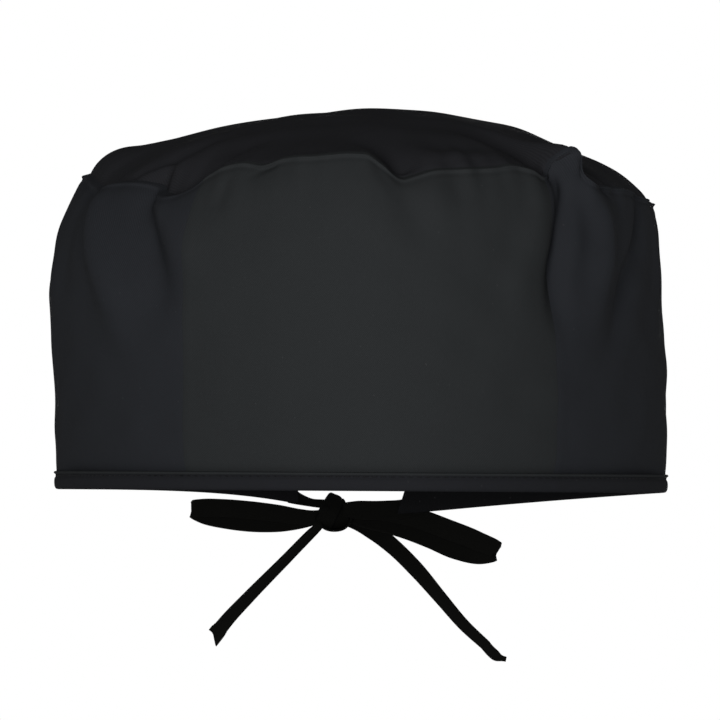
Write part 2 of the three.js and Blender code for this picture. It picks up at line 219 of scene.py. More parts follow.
# Folds of the wall: points (angle, height), how far they stand out, half-breadths at their two ends.
WALL_FOLDS = [
    # left finger, the tuck to its right and the soft swell beyond
    ([(-64, 94), (-61, 86), (-58.5, 76), (-54, 64), (-50, 48), (-46, 37)], 5.8, (6.5, 8)),
    ([(-52, 93), (-50, 86), (-46, 76), (-41.5, 64), (-38.5, 47)], -4.6, (4.2, 6.5)),
    ([(-45.5, 91), (-43, 86), (-37.5, 76), (-31.5, 64), (-31, 50)], 1.9, (5, 7)),
    ([(-76, 88), (-73, 70), (-69, 54)], -0.6, (4, 6)),
    # small creases under the seam on the left of the front
    ([(-49.5, 88), (-47.6, 86.6), (-45.4, 86.4)], -0.8, (0.9, 1.1)),
    ([(-18, 97.4), (-21, 95.6), (-24.5, 93.4)], -0.7, (0.8, 1.3)),
    ([(-28, 92), (-29.7, 82)], -0.8, (2.6, 3)),
    # under the crown's dip in front
    ([(8.4, 93), (10.5, 80), (12.5, 64)], -1.0, (4, 7)),
    ([(2.5, 98), (5.5, 91), (7, 86)], -0.6, (1.6, 2.4)),
    ([(18, 94), (20, 84)], -0.5, (4, 6)),
    # right finger, the sharp crease on its left and the creases to its right
    ([(37.5, 96), (36.5, 86), (34.2, 76), (30.7, 64), (32.5, 48), (35, 38)], 2.0, (5, 7)),
    ([(42.2, 99), (44.2, 92), (43.4, 84), (41.8, 76), (39.8, 64), (40.4, 48), (42, 37)], -4.8, (3.8, 5)),
    ([(45.4, 104), (49.4, 95), (52, 86), (52.8, 76), (51, 64), (48.4, 48), (45, 36)], 4.6, (5, 7)),
    ([(73, 88), (69, 76), (62.5, 64), (57, 50), (51, 33)], -3.6, (4.6, 5)),
    ([(80, 80), (79, 66), (76, 50)], 1.3, (4, 5)),
    ([(54.5, 92), (57, 89.5), (59.5, 87)], -0.7, (0.9, 1.2)),
    # sides and back
    ([(-88, 92), (-82, 74), (-76, 55), (-70, 40)], 0.9, (6, 7)),
    ([(-98, 92), (-93, 76), (-88, 58)], -2.4, (4, 6)),
    ([(-112, 92), (-108, 74), (-105, 55)], 2.6, (6, 8)),
    ([(-123, 92), (-121, 76), (-117, 56), (-116, 38)], -3.2, (3.6, 6)),
    ([(-137, 93), (-135, 74), (-134, 52)], 2.4, (6, 8)),
    ([(-151, 92), (-150, 74), (-147, 52)], -3.4, (3.6, 6)),
    ([(-165, 94), (-165, 78), (-163, 62)], 2.2, (5.5, 8)),
    ([(178, 92), (179, 78), (-179, 62)], -2.2, (3.6, 6)),
    ([(165, 94), (164, 74), (161, 54)], 2.4, (6, 8)),
    ([(152, 92), (151, 72), (147, 50)], -3.4, (3.6, 6)),
    ([(139, 93), (137, 74), (134, 52)], 2.6, (6, 8)),
    ([(127, 92), (124, 74), (119, 54), (116, 38)], -3.2, (3.6, 6)),
    ([(113, 90), (110, 74), (107, 55)], 2.6, (6, 8)),
    ([(99, 86), (97, 70), (95, 52)], -2.8, (4, 6)),
    ([(87, 82), (86, 66), (85, 50)], 0.4, (5, 7)),
]

# Folds of the crown: points (x, y) seen from above, height, half-breadths.
CROWN_FOLDS = [
    ([(-72, -50), (-62, -56), (-52, -57), (-42, -52), (-30, -44)], 3.2, (4.5, 7)),
    ([(-50, -68), (-42, -70), (-34, -62), (-22, -56)], -2.0, (3.4, 6)),
    ([(-80, -40), (-68, -48), (-58, -47.5), (-48, -46), (-36, -40)], -2.6, (2.4, 4.6)),
    ([(53, -72), (43, -62), (33, -51), (22, -38)], -2.2, (3.6, 7)),
    ([(20, -84), (34, -78), (47, -69)], 1.3, (5, 5)),
    ([(13, -91), (6, -80), (-2, -66)], -2.6, (4, 7)),
    ([(62, -74), (59, -62), (54, -50), (48, -38)], 2.6, (4.5, 9)),
    ([(72, -46), (62, -40), (50, -34)], -1.8, (3.4, 6)),
    ([(82, -14), (68, -10), (50, -6)], 0.8, (6, 9)),
    ([(-82, -10), (-66, -12), (-48, -16)], 0.5, (6, 9)),
    ([(-70, 46), (-56, 36), (-40, 26)], -2.2, (4, 8)),
    ([(-48, 74), (-38, 58), (-26, 40)], -2.4, (4, 8)),
    ([(-20, 90), (-16, 72), (-8, 50)], -2.0, (4, 8)),
    ([(0, 92), (2, 74), (4, 56)], 1.6, (5, 8)),
    ([(22, 88), (18, 70), (14, 48)], -2.2, (4, 8)),
    ([(50, 70), (40, 56), (28, 40)], -2.4, (4, 8)),
    ([(72, 42), (58, 32), (40, 22)], -2.2, (4, 8)),
    ([(62, 58), (50, 46), (36, 32)], 1.6, (5, 8)),
]

# Height of the crown's outline as it is seen from the front: x, height.
CROWN_LINE = [
    (-85, 95), (-80, 100.7), (-66, 105), (-46, 109.8), (-22, 113.8), (2, 116.2), (26, 114.5), (50, 109.6),
    (66, 102.8), (80, 96), (88, 88.4),
]


def arc_of(angle):
    """Distance round the hem from the front for an angle in degrees, in millimetres."""
    return np.asarray(angle, float) / 360 * GIRTH


def fold_height(points, line, height, breadths, period=None):
    """A fold along line (points in the same two coordinates): a soft ridge that fades at its ends."""
    path = through(line, 28)
    best = np.full(len(points), 1e9)
    share = np.zeros(len(points))
    for i in range(len(path) - 1):
        a, b = path[i], path[i + 1]
        reach = points - a
        if period:
            reach[:, 0] = (reach[:, 0] + period / 2) % period - period / 2
        along = np.clip(reach @ (b - a) / ((b - a) @ (b - a)), 0, 1)
        gap = np.linalg.norm(reach - along[:, None] * (b - a), axis=1)
        nearer = gap < best
        best[nearer] = gap[nearer]
        share[nearer] = ((i + along) / (len(path) - 1))[nearer]
    breadth = breadths[0] + (breadths[1] - breadths[0]) * share
    fade = step(-0.25, 0.15, share) * step(1.0, 0.45, share)
    return height * fade * np.exp(-((best / breadth) ** 2))


def seeded_ripples(u, v, wavelengths, seed, count=9):
    """A gentle random relief in the plane of u and v, between about -1 and 1."""
    random = np.random.default_rng(seed)
    total = np.zeros_like(u)
    for _ in range(count):
        angle, phase = random.uniform(0, math.pi), random.uniform(0, 2 * math.pi)
        wave = 2 * math.pi / random.uniform(*wavelengths)
        total += np.sin(wave * (u * math.cos(angle) + v * math.sin(angle)) + phase)
    return total / math.sqrt(count)


def puckers(arc, seed):
    """Small gathers along a seam, as a function of the distance round the cap."""
    random = np.random.default_rng(seed)
    total = np.zeros_like(arc)
    for _ in range(7):
        waves = round(GIRTH / random.uniform(7, 15))
        total += np.sin(2 * math.pi * waves * arc / GIRTH + random.uniform(0, 2 * math.pi))
    return total / 2.6


def seam_height(angle):
    """The crown seam's height at an angle in degrees."""
    return smooth_curve(SEAM_LINE, (np.asarray(angle) + 180) % 360 - 180)


def rim_dip(x, y, z):
    """How far the ties pull the back of the cap down, as in the CAD model."""
    turn = np.arctan2(np.maximum(y, 0) / HALF_DEPTH, np.abs(x - SLIT_CENTRE) / HALF_WIDTH) / (math.pi / 2)
    dip = RIM_DIP * np.where(x > SLIT_CENTRE, turn**2, turn**6)
    return dip * (1 - np.clip(z / DIP_FADES_OUT, 0, 1)) ** 2 * (y > 0)


SLIT_CENTRE, SLIT_WIDTH, SLIT_TOP = -2.3, 33.5, 42
RIM_DIP, DIP_FADES_OUT = 9, 60


def wall_points(angle, rise):
    """Outer face of the wall. angle is in degrees from the front, rise runs from 0, hem, to 1, seam."""
    angle, rise = np.broadcast_arrays(np.asarray(angle, float), np.asarray(rise, float))
    around = np.radians(angle)
    sine, cosine = np.sin(around), np.cos(around)
    shares = [
        (LEFT_WALL, np.maximum(-sine, 0) ** 2),
        (RIGHT_WALL, np.maximum(sine, 0) ** 2),
        (FRONT_WALL, np.maximum(cosine, 0) ** 2),
        (BACK_WALL, np.maximum(-cosine, 0) ** 2),
    ]
    lean, height = np.zeros_like(rise), np.zeros_like(rise)
    top = np.zeros_like(rise)
    for wall, share in shares:
        steps = np.linspace(0, 1, len(wall))
        values = smooth_curve(np.c_[steps, wall], rise)
        lean += share * values[..., 0]
        height += share * values[..., 1]
        top += share * wall[-1][1]
    lift = seam_height(angle) - top
    height = height + lift * rise**7
    lean = lean - 0.35 * lift * rise**5
    return lean, height


def wall_surface(angle, rise):
    """Points (mm) of the finished outer wall, with folds, puckers, hem groove and the seam's rolled edge."""
    lean, height = wall_points(angle, rise)
    angle = np.broadcast_to(angle, lean.shape)
    around = np.radians(angle)
    arc = arc_of(angle)
    flat = np.stack([arc.ravel(), height.ravel()], axis=1)
    relief = np.zeros(len(flat))
    for line, stand, breadths in WALL_FOLDS:
        path = np.array([(arc_of(a), z) for a, z in unwrapped(line)])
        relief += fold_height(flat.copy(), path, stand, breadths, GIRTH)
    relief = relief.reshape(lean.shape)
    relief = relief * step(HEM_TOP, 26, height)
    back = step(0.15, 0.75, -np.cos(around))
    down = np.clip(seam_height(angle) - height, 0, None)
    relief += 0.42 * puckers(arc, 11) * np.exp(-down / 7)
    relief += 0.22 * seeded_ripples(arc, height, (14, 30), 5) * step(4, 20, height)
    relief += 0.8 * back * puckers(arc, 23) * np.exp(-np.clip(height - 9, 0, None) / 13)
    relief += groove(angle, height)
    relief += 0.5 * np.exp(-(((down - 0.85) / 0.5) ** 2)) - 0.25 * np.exp(-(((down - 2) / 0.8) ** 2))
    relief -= SEAM_TUCK * step(0.7, 0, down)
    for seam_angle in PANEL_SEAMS:
        near = arc - arc_of(seam_angle)
        relief += 0.1 * np.exp(-(((near - 2.2) / 1.6) ** 2)) - 0.1 * np.exp(-((near / 0.6) ** 2))
    out = relief - lean
    points = np.stack(
        [
            (HALF_WIDTH + out) * np.sin(around),
            -(HALF_DEPTH + out) * np.cos(around),
            height,
        ],
        axis=-1,
    )
    points[..., 2] -= rim_dip(points[..., 0], points[..., 1], points[..., 2])
    return points


def unwrapped(line):
    """The same fold with its angles made continuous across the back."""
    result, last = [], None
    for angle, height in line:
        if last is not None and abs(angle - last) > 180:
            angle += 360 if angle < last else -360
        result.append((angle, height))
        last = angle
    return result


def groove(angle, height):
    """The hem's stitched line draws the wall in, most of all in front and where the two meet."""
    return -(2.0 - 1.7 * step(66, 84, np.abs(angle))) * np.exp(-np.clip(height - 5.6, 0, None) / 2.8)


def seam_angle_of(node, side):
    """Angle at which a front seam meets the hem, from the CAD front panel's box."""
    low, high = (np.array(corner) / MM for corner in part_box(node))
    x = low[0] if side < 0 else high[0]
    return math.degrees(math.asin(x / (HALF_WIDTH + 1)))


PANEL_SEAMS = [seam_angle_of("front_panel", -1), seam_angle_of("front_panel", 1)]


# ---- the cap's cloth pieces -----------------------------------------------------------------------
def slit_edge(height, side):
    """Where the slit's edge cuts a side panel at that height: an angle in degrees, 180 above the slit."""
    radius = SLIT_WIDTH / 2
    above = np.clip(height - (SLIT_TOP - radius), 0, radius)
    half = np.where(height < SLIT_TOP, np.sqrt(np.maximum(radius**2 - above**2, 0)), 0)
    return side * (180 - np.degrees(np.arcsin((half + side * SLIT_CENTRE) / HALF_WIDTH)))


def rise_at(height):
    """The share of the way up the wall at a height over the back or front of the cap, near enough."""
    heights = [h for _, h in BACK_WALL]
    return np.interp(height, heights, np.linspace(0, 1, len(heights)))


def uneven(count):
    """Shares from 0 to 1 that lie closer together near both ends."""
    t = np.linspace(0, 1, count)
    return t - 0.1 * np.sin(2 * math.pi * t)


def wall_panel(name, start, end, columns, rows=104):
    """One panel of the wall. start and end give the angle of its upright edges at each height."""
    middle = (start(50.0) + end(50.0)) / 2
    share = np.linspace(0, 1, columns)[None, :]
    behind_ears = step(EAR_ANGLE + 0.8, EAR_ANGLE + 3, np.abs(start(6.0) * (1 - share) + end(6.0) * share))
    foot = (4.4 + 3.9 * behind_ears) / 112
    rise = foot + (1 - foot) * uneven(rows)[:, None]
    _, height = wall_points(np.full((rows, columns), middle), rise)
    angle = start(height) * (1 - share) + end(height) * share
    grid = wall_surface(angle, rise)
    _, height = wall_points(angle, rise)
    uv = np.stack([arc_of(angle), height], axis=-1)
    return cloth_from_grid(name, grid, uv, CLOTH)


def crown_line(x):
    return smooth_curve(CROWN_LINE, x)


CROWN_INSET = 0.9  # how far inside the wall's top edge the crown's own edge lies


def crown_form(angle, rho):
    """Points of the crown: angle in degrees, rho from 1 at the seam to 0 in the middle."""
    lean, seam_z = wall_points(angle, np.ones_like(angle))
    around = np.radians(angle)
    edge_x = (HALF_WIDTH - lean) * np.sin(around)
    edge_y = -(HALF_DEPTH - lean) * np.cos(around)
    reach = rho * (1 - CROWN_INSET / np.hypot(edge_x, edge_y))
    folded = wall_surface(angle[:1], np.ones_like(angle[:1]))
    stands = np.hypot(folded[..., 0], folded[..., 1]) - np.hypot(edge_x[:1], edge_y[:1]) + SEAM_TUCK
    reach = reach + stands * np.exp(-((1 - rho) * 95 / 9) ** 2) / np.hypot(edge_x, edge_y)
    x, y = edge_x * reach, edge_y * reach

    def dome(x, y):
        span = 94 * np.sqrt(np.maximum(1 - ((x - 2.2) / 86.5) ** 2, 0.02))
        return 96 + (crown_line(x) - 96) * (1 - np.minimum(np.abs(y) / span, 1) ** 2.3)

    z = dome(x, y) + (seam_z - 0.4 - dome(edge_x, edge_y)) * rho**6
    from_seam = np.hypot(edge_x, edge_y) * (1 - rho)
    plan = np.stack([x.ravel(), y.ravel()], axis=1)
    relief = sum(fold_height(plan.copy(), line, stand, breadths) for line, stand, breadths in CROWN_FOLDS)
    z = z + relief.reshape(z.shape) * step(0, 5, from_seam)
    z += 0.55 * puckers(arc_of(angle), 11) * np.exp(-from_seam / 8) * step(-1, 3, from_seam)
    z += 0.3 * seeded_ripples(x, y, (16, 34), 8) * step(0, 12, from_seam)
    z -= 1.7 * np.exp(-from_seam / 0.8)
    return np.stack([x, y, z], axis=-1)


def crown_piece():
    columns, rows = 420, 84
    angle = np.linspace(-180, 180, columns, endpoint=False)[None, :]
    share = np.linspace(0, 1, rows) ** 1.25
    rho = (1 - share * 0.985)[:, None]
    angle, rho = np.broadcast_arrays(angle, rho)
    grid = crown_form(angle, rho)
    normals = grid_normals(grid, closed=True)
    inner = grid - normals * CLOTH
    index = np.arange(rows * columns).reshape(rows, columns)
    index = np.c_[index, index[:, :1]]
    a, b, c, d = index[:-1, :-1], index[:-1, 1:], index[1:, 1:], index[1:, :-1]
    quads = np.stack([a, b, c, d], axis=-1).reshape(-1, 4)
    under = rows * columns
    rim = np.stack([index[0, 1:], index[0, :-1], index[0, :-1] + under, index[0, 1:] + under], axis=-1)
    top, bottom = 2 * under, 2 * under + 1
    last = index[-1]
    fans = [[p, q, top] for p, q in zip(last[:-1], last[1:])]
    fans += [[q + under, p + under, bottom] for p, q in zip(last[:-1], last[1:])]
    vertices = np.concatenate(
        [grid.reshape(-1, 3), inner.reshape(-1, 3), [grid[-1].mean(axis=0)], [inner[-1].mean(axis=0)]]
    )
    faces = [list(f) for f in np.concatenate([quads, quads[:, ::-1] + under, rim])] + fans
    return link("crown_cloth", vertices, faces, vertices[:, :2] * 1.04)


def oval(angle, out, z):
    """A point at a distance outside the hem's oval, at a height, before the ties' pull."""
    around = np.radians(angle)
    x = (HALF_WIDTH + out) * np.sin(around)
    y = -(HALF_DEPTH + out) * np.cos(around)
    return np.stack(np.broadcast_arrays(x, y, z), axis=-1)


def rim_line(angles, out, z):
    """Points along the rim, at a distance outside the oval and a height, with the ties' pull."""
    points = oval(np.asarray(angles), out, z)
    points[:, 2] -= rim_dip(points[:, 0], points[:, 1], points[:, 2])
    return points


# Sections of the hem and the casing: height above the rim and distance outside the oval, once round.
HEM_SECTION = [
    (5.3, -2.4), (5.6, -1.2), (5.62, -0.4), (5.55, 0.22), (5.38, 0.5), (5.16, 0.6), (4.94, 0.52), (4.72, 0.2),
    (4.45, -0.06), (4.15, -0.1), (3.8, 0.1), (3.4, 0.32), (2.8, 0.42), (2.0, 0.44), (1.1, 0.34),
    (0.45, 0.08), (0.1, -0.35), (0, -0.9), (0.12, -1.6), (0.5, -2.3), (1.4, -2.75), (2.8, -2.8), (4.2, -2.8),
]
CASING_SECTION = [
    (9.2, -0.8), (9.25, 0.2), (9.0, 0.68), (8.6, 0.8), (8.3, 0.5), (8.05, 0.42), (7.7, 0.72), (7.0, 1.0),
    (5.6, 1.2), (4.0, 1.25), (2.4, 1.2), (1.2, 1.0), (0.45, 0.6), (0.08, 0.0), (0, -0.6), (0.2, -1.4),
    (0.8, -2.1), (2.0, -2.35), (4.0, -2.4), (6.4, -2.35), (8.0, -2.1), (8.9, -1.6),
]


def rim_band(name, section, angles, reliefs, wall=None, mouth=None):
    """A band round the rim with the given section; wall makes it a sleeve with walls that thick."""
    section = np.asarray(section, float)
    outs = section[:, 1]
    centre = section.mean(axis=0)
    shapes = [section]
    if wall:
        inward = unit(centre - section) * wall
        shapes.append(section + inward)
    rings, uvs = [], []
    ripple = reliefs(angles)
    facing = np.clip(outs - centre[1], 0, None) / (outs.max() - centre[1])
    for shape in shapes:
        out = shape[None, :, 1] + ripple[:, None] * facing[None, :]
        z = np.broadcast_to(shape[None, :, 0], out.shape)
        points = oval(angles[:, None], out, z)
        points[..., 2] -= rim_dip(points[..., 0], points[..., 1], points[..., 2])
        if mouth is not None:
            points[..., 0] += mouth(angles)[:, None] * np.clip(1 - shape[None, :, 0] / 7.4, 0, 1)
        rings.append(points)
        uvs.append(np.stack(np.broadcast_arrays(arc_of(angles)[:, None], shape[None, :, 0]), axis=-1))
    count, k = rings[0].shape[:2]
    index = np.arange(count * k).reshape(count, k)
    following = np.roll(index, -1, axis=1)
    quads = np.stack([index[:-1], index[1:], following[1:], following[:-1]], axis=-1).reshape(-1, 4)
    vertices = np.concatenate([r.reshape(-1, 3) for r in rings])
    uv = np.concatenate([u.reshape(-1, 2) for u in uvs])
    if wall:
        under = count * k
        faces = [list(q) for q in np.concatenate([quads, quads[:, ::-1] + under])]
        for end in (0, -1):
            here, after = index[end], following[end]
            ends = np.stack([here, after, after + under, here + under], axis=-1)
            faces += [list(q) for q in (ends if end == 0 else ends[:, ::-1])]
    else:
        faces = [list(q) for q in quads] + [list(index[0]), list(index[-1][::-1])]
    piece = link(name, vertices, faces, uv)
    face_out(piece)
    return piece


def hem_relief(angles):
    arc = arc_of(angles)
    relief = 0.1 * seeded_ripples(arc, arc * 0, (18, 40), 3, 5)
    for seam in PANEL_SEAMS:
        relief += 0.28 * np.exp(-(((arc - arc_of(seam)) / 2.6) ** 2))
    return relief


def casing_relief(angles):
    """Gathers of the casings, which lie as close as the hem where the two meet at the ears."""
    return 0.5 * puckers(arc_of(angles), 23) - 0.8 * np.exp((EAR_ANGLE - np.abs(angles)) / 2.5)


SLIT_LEFT = float(slit_edge(0.0, -1))
SLIT_RIGHT = float(slit_edge(0.0, 1))

front_panel = wall_panel(
    "front_panel_cloth", lambda h: PANEL_SEAMS[0] + 0.01 + 0 * h, lambda h: PANEL_SEAMS[1] - 0.01 + 0 * h, 132
)
left_panel = wall_panel(
    "left_side_cloth", lambda h: slit_edge(h, -1) + 0.06, lambda h: PANEL_SEAMS[0] - 0.01 + 0 * h, 250
)
right_panel = wall_panel(
    "right_side_cloth", lambda h: PANEL_SEAMS[1] + 0.01 + 0 * h, lambda h: slit_edge(h, 1) - 0.06, 250
)
crown = crown_piece()
hem = rim_band("front_hem_fold", HEM_SECTION, np.linspace(-EAR_ANGLE, EAR_ANGLE, 340), hem_relief)
left_casing = rim_band(
    "left_casing_sleeve",
    CASING_SECTION,
    np.linspace(SLIT_LEFT + 0.6, -EAR_ANGLE - 0.1, 150),
    casing_relief,
    wall=0.5,
    mouth=lambda a: 0.3 * np.exp(-arc_of(a - SLIT_LEFT) / 3),
)
right_casing = rim_band(
    "right_casing_sleeve",
    CASING_SECTION,
    np.linspace(EAR_ANGLE + 0.1, SLIT_RIGHT, 150),
    casing_relief,
    wall=0.5,
    mouth=lambda a: -2.8 * np.exp(-arc_of(SLIT_RIGHT - a) / 5),
)


# ---- bindings, tapes and the sweatband inside ----------------------------------------------------
LINING_PINCH = 0.25  # how much a strip's sewn edges are pulled in


def lining_strip(name, angles, rises, depth, thickness, closed=False):
    """A strip that lies against the inner face of the wall, depth inside its outer face."""
    angle, rise = np.broadcast_arrays(angles[None, :], rises)
    outer = wall_surface(angle, rise)
    normals = grid_normals(outer, closed)
    rows = np.linspace(0, 1, outer.shape[0])[:, None, None]
    pinch = LINING_PINCH * (np.exp(-((rows / 0.06) ** 2)) + np.exp(-(((1 - rows) / 0.06) ** 2)))
    grid = outer - normals * (depth + pinch)
    _, height = wall_points(angle, rise)
    uv = np.stack([arc_of(angle), height], axis=-1)
    return cloth_from_grid(name, grid, uv, thickness, closed, normals)


def rises_between(low, high, count, angles):
    """Rises at even steps between two heights, for each of the angles."""
    low, high = rise_at(low), rise_at(high)
    return np.broadcast_to(np.linspace(low, high, count)[:, None], (count, len(angles)))


def under_crown(angles, count=12):
    """Rises of a strip that runs just under the crown seam all round."""
    return np.broadcast_to(np.linspace(0.875, 0.972, count)[:, None], (count, len(angles)))


around_cap = np.linspace(-180, 180, 440, endpoint=False)
crown_tape = lining_strip("crown_seam_tape", around_cap, under_crown(around_cap), 0.85, 0.6, closed=True)
seam_tapes = []
for side_name, seam in zip(("left", "right"), PANEL_SEAMS):
    angles = np.linspace(seam - 2.35, seam + 2.35, 11)
    seam_tapes.append(
        lining_strip(side_name + "_panel_seam_tape", angles, rises_between(37, 84, 60, angles), 0.8, 0.55)
    )
angles = np.linspace(177.6, 182.4, 11)
back_tape = lining_strip("back_seam_tape", angles, rises_between(47, 84, 46, angles), 0.8, 0.55)
angles = np.linspace(-72, 72, 220)
sweatband = lining_strip("forehead_sweatband_cloth", angles, rises_between(1.6, 33.5, 44, angles), 2.4, 1.3)


def slit_binding():
    """A folded tape round the slit's edge, from one casing top over the arch to the other."""
    radius = SLIT_WIDTH / 2 - 0.5
    spring = SLIT_TOP - SLIT_WIDTH / 2
    turn = np.linspace(math.pi, 0, 60)
    legs = np.linspace(8.8, spring, 24)[:-1]
    x = np.r_[np.full(23, -radius), radius * np.cos(turn), np.full(23, radius)] + SLIT_CENTRE
    z = np.r_[legs, spring + radius * np.sin(turn), legs[::-1]]
    angle = 180 - np.degrees(np.arcsin(x / HALF_WIDTH))
    line = wall_surface(angle, rise_at(z))
    outward = wall_surface(angle + 0.3, rise_at(z)) - wall_surface(angle - 0.3, rise_at(z))
    upward = wall_surface(angle, rise_at(z + 0.5)) - wall_surface(angle, rise_at(z - 0.5))
    out = unit(np.cross(outward, upward))
    along = unit(np.gradient(line, axis=0))
    side = unit(np.cross(out, along))
    section = [
        (-1.6, -0.3), (-1.55, 0.3), (-1.2, 0.6), (-0.9, 0.45), (-0.6, 0.62), (0.4, 0.72), (1.2, 0.6),
        (1.6, 0.2),
        (1.7, -0.3), (1.6, -0.9), (1.1, -1.25), (0, -1.3), (-1.1, -1.2), (-1.5, -0.9),
    ]
    return sweep("slit_binding", line, side, out, section)


binding = slit_binding()


# ---- sewing thread --------------------------------------------------------------------------------
def stitch_tree():
    """Short thread stitches, end to end, along every edge chain of the object."""
    tree = bpy.data.node_groups.new("Stitches", "GeometryNodeTree")
    face = tree.interface
    face.new_socket("Geometry", in_out="INPUT", socket_type="NodeSocketGeometry")
    for name in ("Pitch", "Stitch length", "Thread radius"):
        face.new_socket(name, in_out="INPUT", socket_type="NodeSocketFloat")
    face.new_socket("Thread", in_out="INPUT", socket_type="NodeSocketMaterial")
    face.new_socket("Geometry", in_out="OUTPUT", socket_type="NodeSocketGeometry")
    node = tree.nodes.new
    given, result = node("NodeGroupInput"), node("NodeGroupOutput")
    to_curve, even = node("GeometryNodeMeshToCurve"), node("GeometryNodeResampleCurve")
    even.mode = "LENGTH"
    stitch, shape = node("GeometryNodeMeshUVSphere"), node("GeometryNodeTransform")
    stitch.inputs["Segments"].default_value = 8
    stitch.inputs["Rings"].default_value = 6
    stitch.inputs["Radius"].default_value = 1
    half = node("ShaderNodeMath")
    half.operation = "MULTIPLY"
    half.inputs[1].default_value = 0.5
    size = node("ShaderNodeCombineXYZ")
    tangent, turned = node("GeometryNodeInputTangent"), node("FunctionNodeAlignRotationToVector")
    turned.axis = "X"
    place, real = node("GeometryNodeInstanceOnPoints"), node("GeometryNodeRealizeInstances")
    smooth, finish = node("GeometryNodeSetShadeSmooth"), node("GeometryNodeSetMaterial")
    wire = tree.links.new
    wire(given.outputs["Geometry"], to_curve.inputs[0])
    wire(to_curve.outputs[0], even.inputs["Curve"])
    wire(given.outputs["Pitch"], even.inputs["Length"])
    wire(given.outputs["Stitch length"], half.inputs[0])
    wire(half.outputs[0], size.inputs[0])
    wire(given.outputs["Thread radius"], size.inputs[1])
    wire(given.outputs["Thread radius"], size.inputs[2])
    wire(stitch.outputs["Mesh"], shape.inputs["Geometry"])
    wire(size.outputs[0], shape.inputs["Scale"])
    wire(even.outputs["Curve"], place.inputs["Points"])
    wire(shape.outputs["Geometry"], place.inputs["Instance"])
    wire(tangent.outputs[0], turned.inputs["Vector"])
    wire(turned.outputs[0], place.inputs["Rotation"])
    wire(place.outputs[0], real.inputs[0])
    wire(real.outputs[0], smooth.inputs["Geometry"])
    wire(smooth.outputs[0], finish.inputs["Geometry"])
    wire(given.outputs["Thread"], finish.inputs["Material"])
    wire(finish.outputs[0], result.inputs[0])
    return tree


def sewn(name, lines, pitch, length, radius, thread):
    """Stitches along lines of points, as one plain mesh."""
    vertices, edges = [], []
    for line in lines:
        first = len(vertices)
        vertices += (np.asarray(line) * MM).tolist()
        edges += [(first + i, first + i + 1) for i in range(len(line) - 1)]
    mesh = bpy.data.meshes.new(name + "_lines")
    mesh.from_pydata(vertices, edges, [])
    piece = bpy.data.objects.new(name, mesh)
    bpy.context.scene.collection.objects.link(piece)
    modifier = piece.modifiers.new("Stitches", "NODES")
    modifier.node_group = STITCHES
    values = {
        "Pitch": pitch * MM,
        "Stitch length": length * MM,
        "Thread radius": radius * MM,
        "Thread": thread,
    }
    for item in STITCHES.interface.items_tree:
        if item.in_out == "INPUT" and item.name in values:
            modifier[item.identifier] = values[item.name]
    graph = bpy.context.evaluated_depsgraph_get()
    plain = bpy.data.meshes.new_from_object(piece.evaluated_get(graph))
    piece.modifiers.clear()
    piece.data = plain
    plain.name = name
    return piece


STITCHES = stitch_tree()


# ---- the ties -------------------------------------------------------------------------------------
TAPE_SECTION = [
    (-3.0, 0.0), (-2.93, 0.26), (-2.6, 0.38), (-2.2, 0.3), (-1.0, 0.3), (0.0, 0.32), (1.0, 0.3), (2.2, 0.3),
    (2.6, 0.38), (2.93, 0.26), (3.0, 0.0), (2.93, -0.26), (2.6, -0.38), (2.2, -0.3), (1.0, -0.3),
    (0.0, -0.32),
    (-1.0, -0.3), (-2.2, -0.3), (-2.6, -0.38), (-2.93, -0.26),
]


def tape(name, route, across, widths, count=70, cup=0.0, cut=(0.0, 0.0)):
    """Flat tape along a route. across gives the direction of its breadth at each point of the route,
    widths the share of the full breadth there, cup how much its edges curl, and cut the slant of its ends."""
    route, across = np.asarray(route, float), np.asarray(across, float)
    share = np.r_[0, np.cumsum(np.linalg.norm(np.diff(route, axis=0), axis=1))]
    line = through(route, count)
    at = np.linspace(0, share[-1], count)
    side = smooth_curve(np.c_[share, across], at)
    width = np.interp(at, share, widths)
    along = unit(np.gradient(line, axis=0))
    side = unit(side - along * (side * along).sum(axis=1, keepdims=True))
    out = unit(np.cross(along, side))
    section = np.asarray(TAPE_SECTION)
    rings = (
        line[:, None]
        + side[:, None] * section[None, :, :1] * width[:, None, None]
        + out[:, None] * (section[None, :, 1:] + cup * ((section[None, :, :1] / 3) ** 2 - 0.4))
    )
    for end, slant in ((0, cut[0]), (-1, cut[1])):
        rings[end] += along[end] * slant * section[:, :1]
    length = np.r_[0, np.cumsum(np.linalg.norm(np.diff(line, axis=0), axis=1))]
    uv = np.stack(np.broadcast_arrays(length[:, None], section[None, :, 0]), axis=-1)
    return band_of_rings(name, rings, uv), line


KNOT = (np.array(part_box("bow_knot")[0]) + np.array(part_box("bow_knot")[1])) / 2 / MM
KNOT[1] = 108.6

# Routes of the loops, from the knot out along the near strand and back along the far one.
LEFT_LOOP = [
    (-10.5, 107.4, -7.4), (-15, 106.4, -8.3), (-19, 106, -8.1), (-25, 105.8, -7.2), (-33, 105.6, -6.3),
    (-42, 105.9, -5.6), (-49, 106.7, -5.5), (-52.3, 108.7, -5.9), (-49.8, 110.4, -7.4), (-42, 110.5, -9.6),
    (-33, 110.4, -10.8), (-25, 110.2, -10.8), (-17, 110.2, -9.5), (-10.6, 109.6, -7.8),
]
LEFT_LOOP_ACROSS = [
    (0.15, 0, 1), (0.1, 0, 1), (0.1, 0, 1), (0.1, -0.05, 1), (0, -0.1, 1), (0, -0.1, 1), (0, 0, 1),
    (0.06, 0, 1), (0, 0.3, 1), (0, 0.8, 1), (0, 1, 1), (0, 1, 1), (0, 0.5, 1), (0, 0.1, 1),
]
LEFT_LOOP_WIDTHS = [0.6, 0.75, 0.82, 0.9, 0.95, 0.95, 0.93, 0.86, 0.93, 0.97, 0.95, 0.9, 0.7, 0.5]
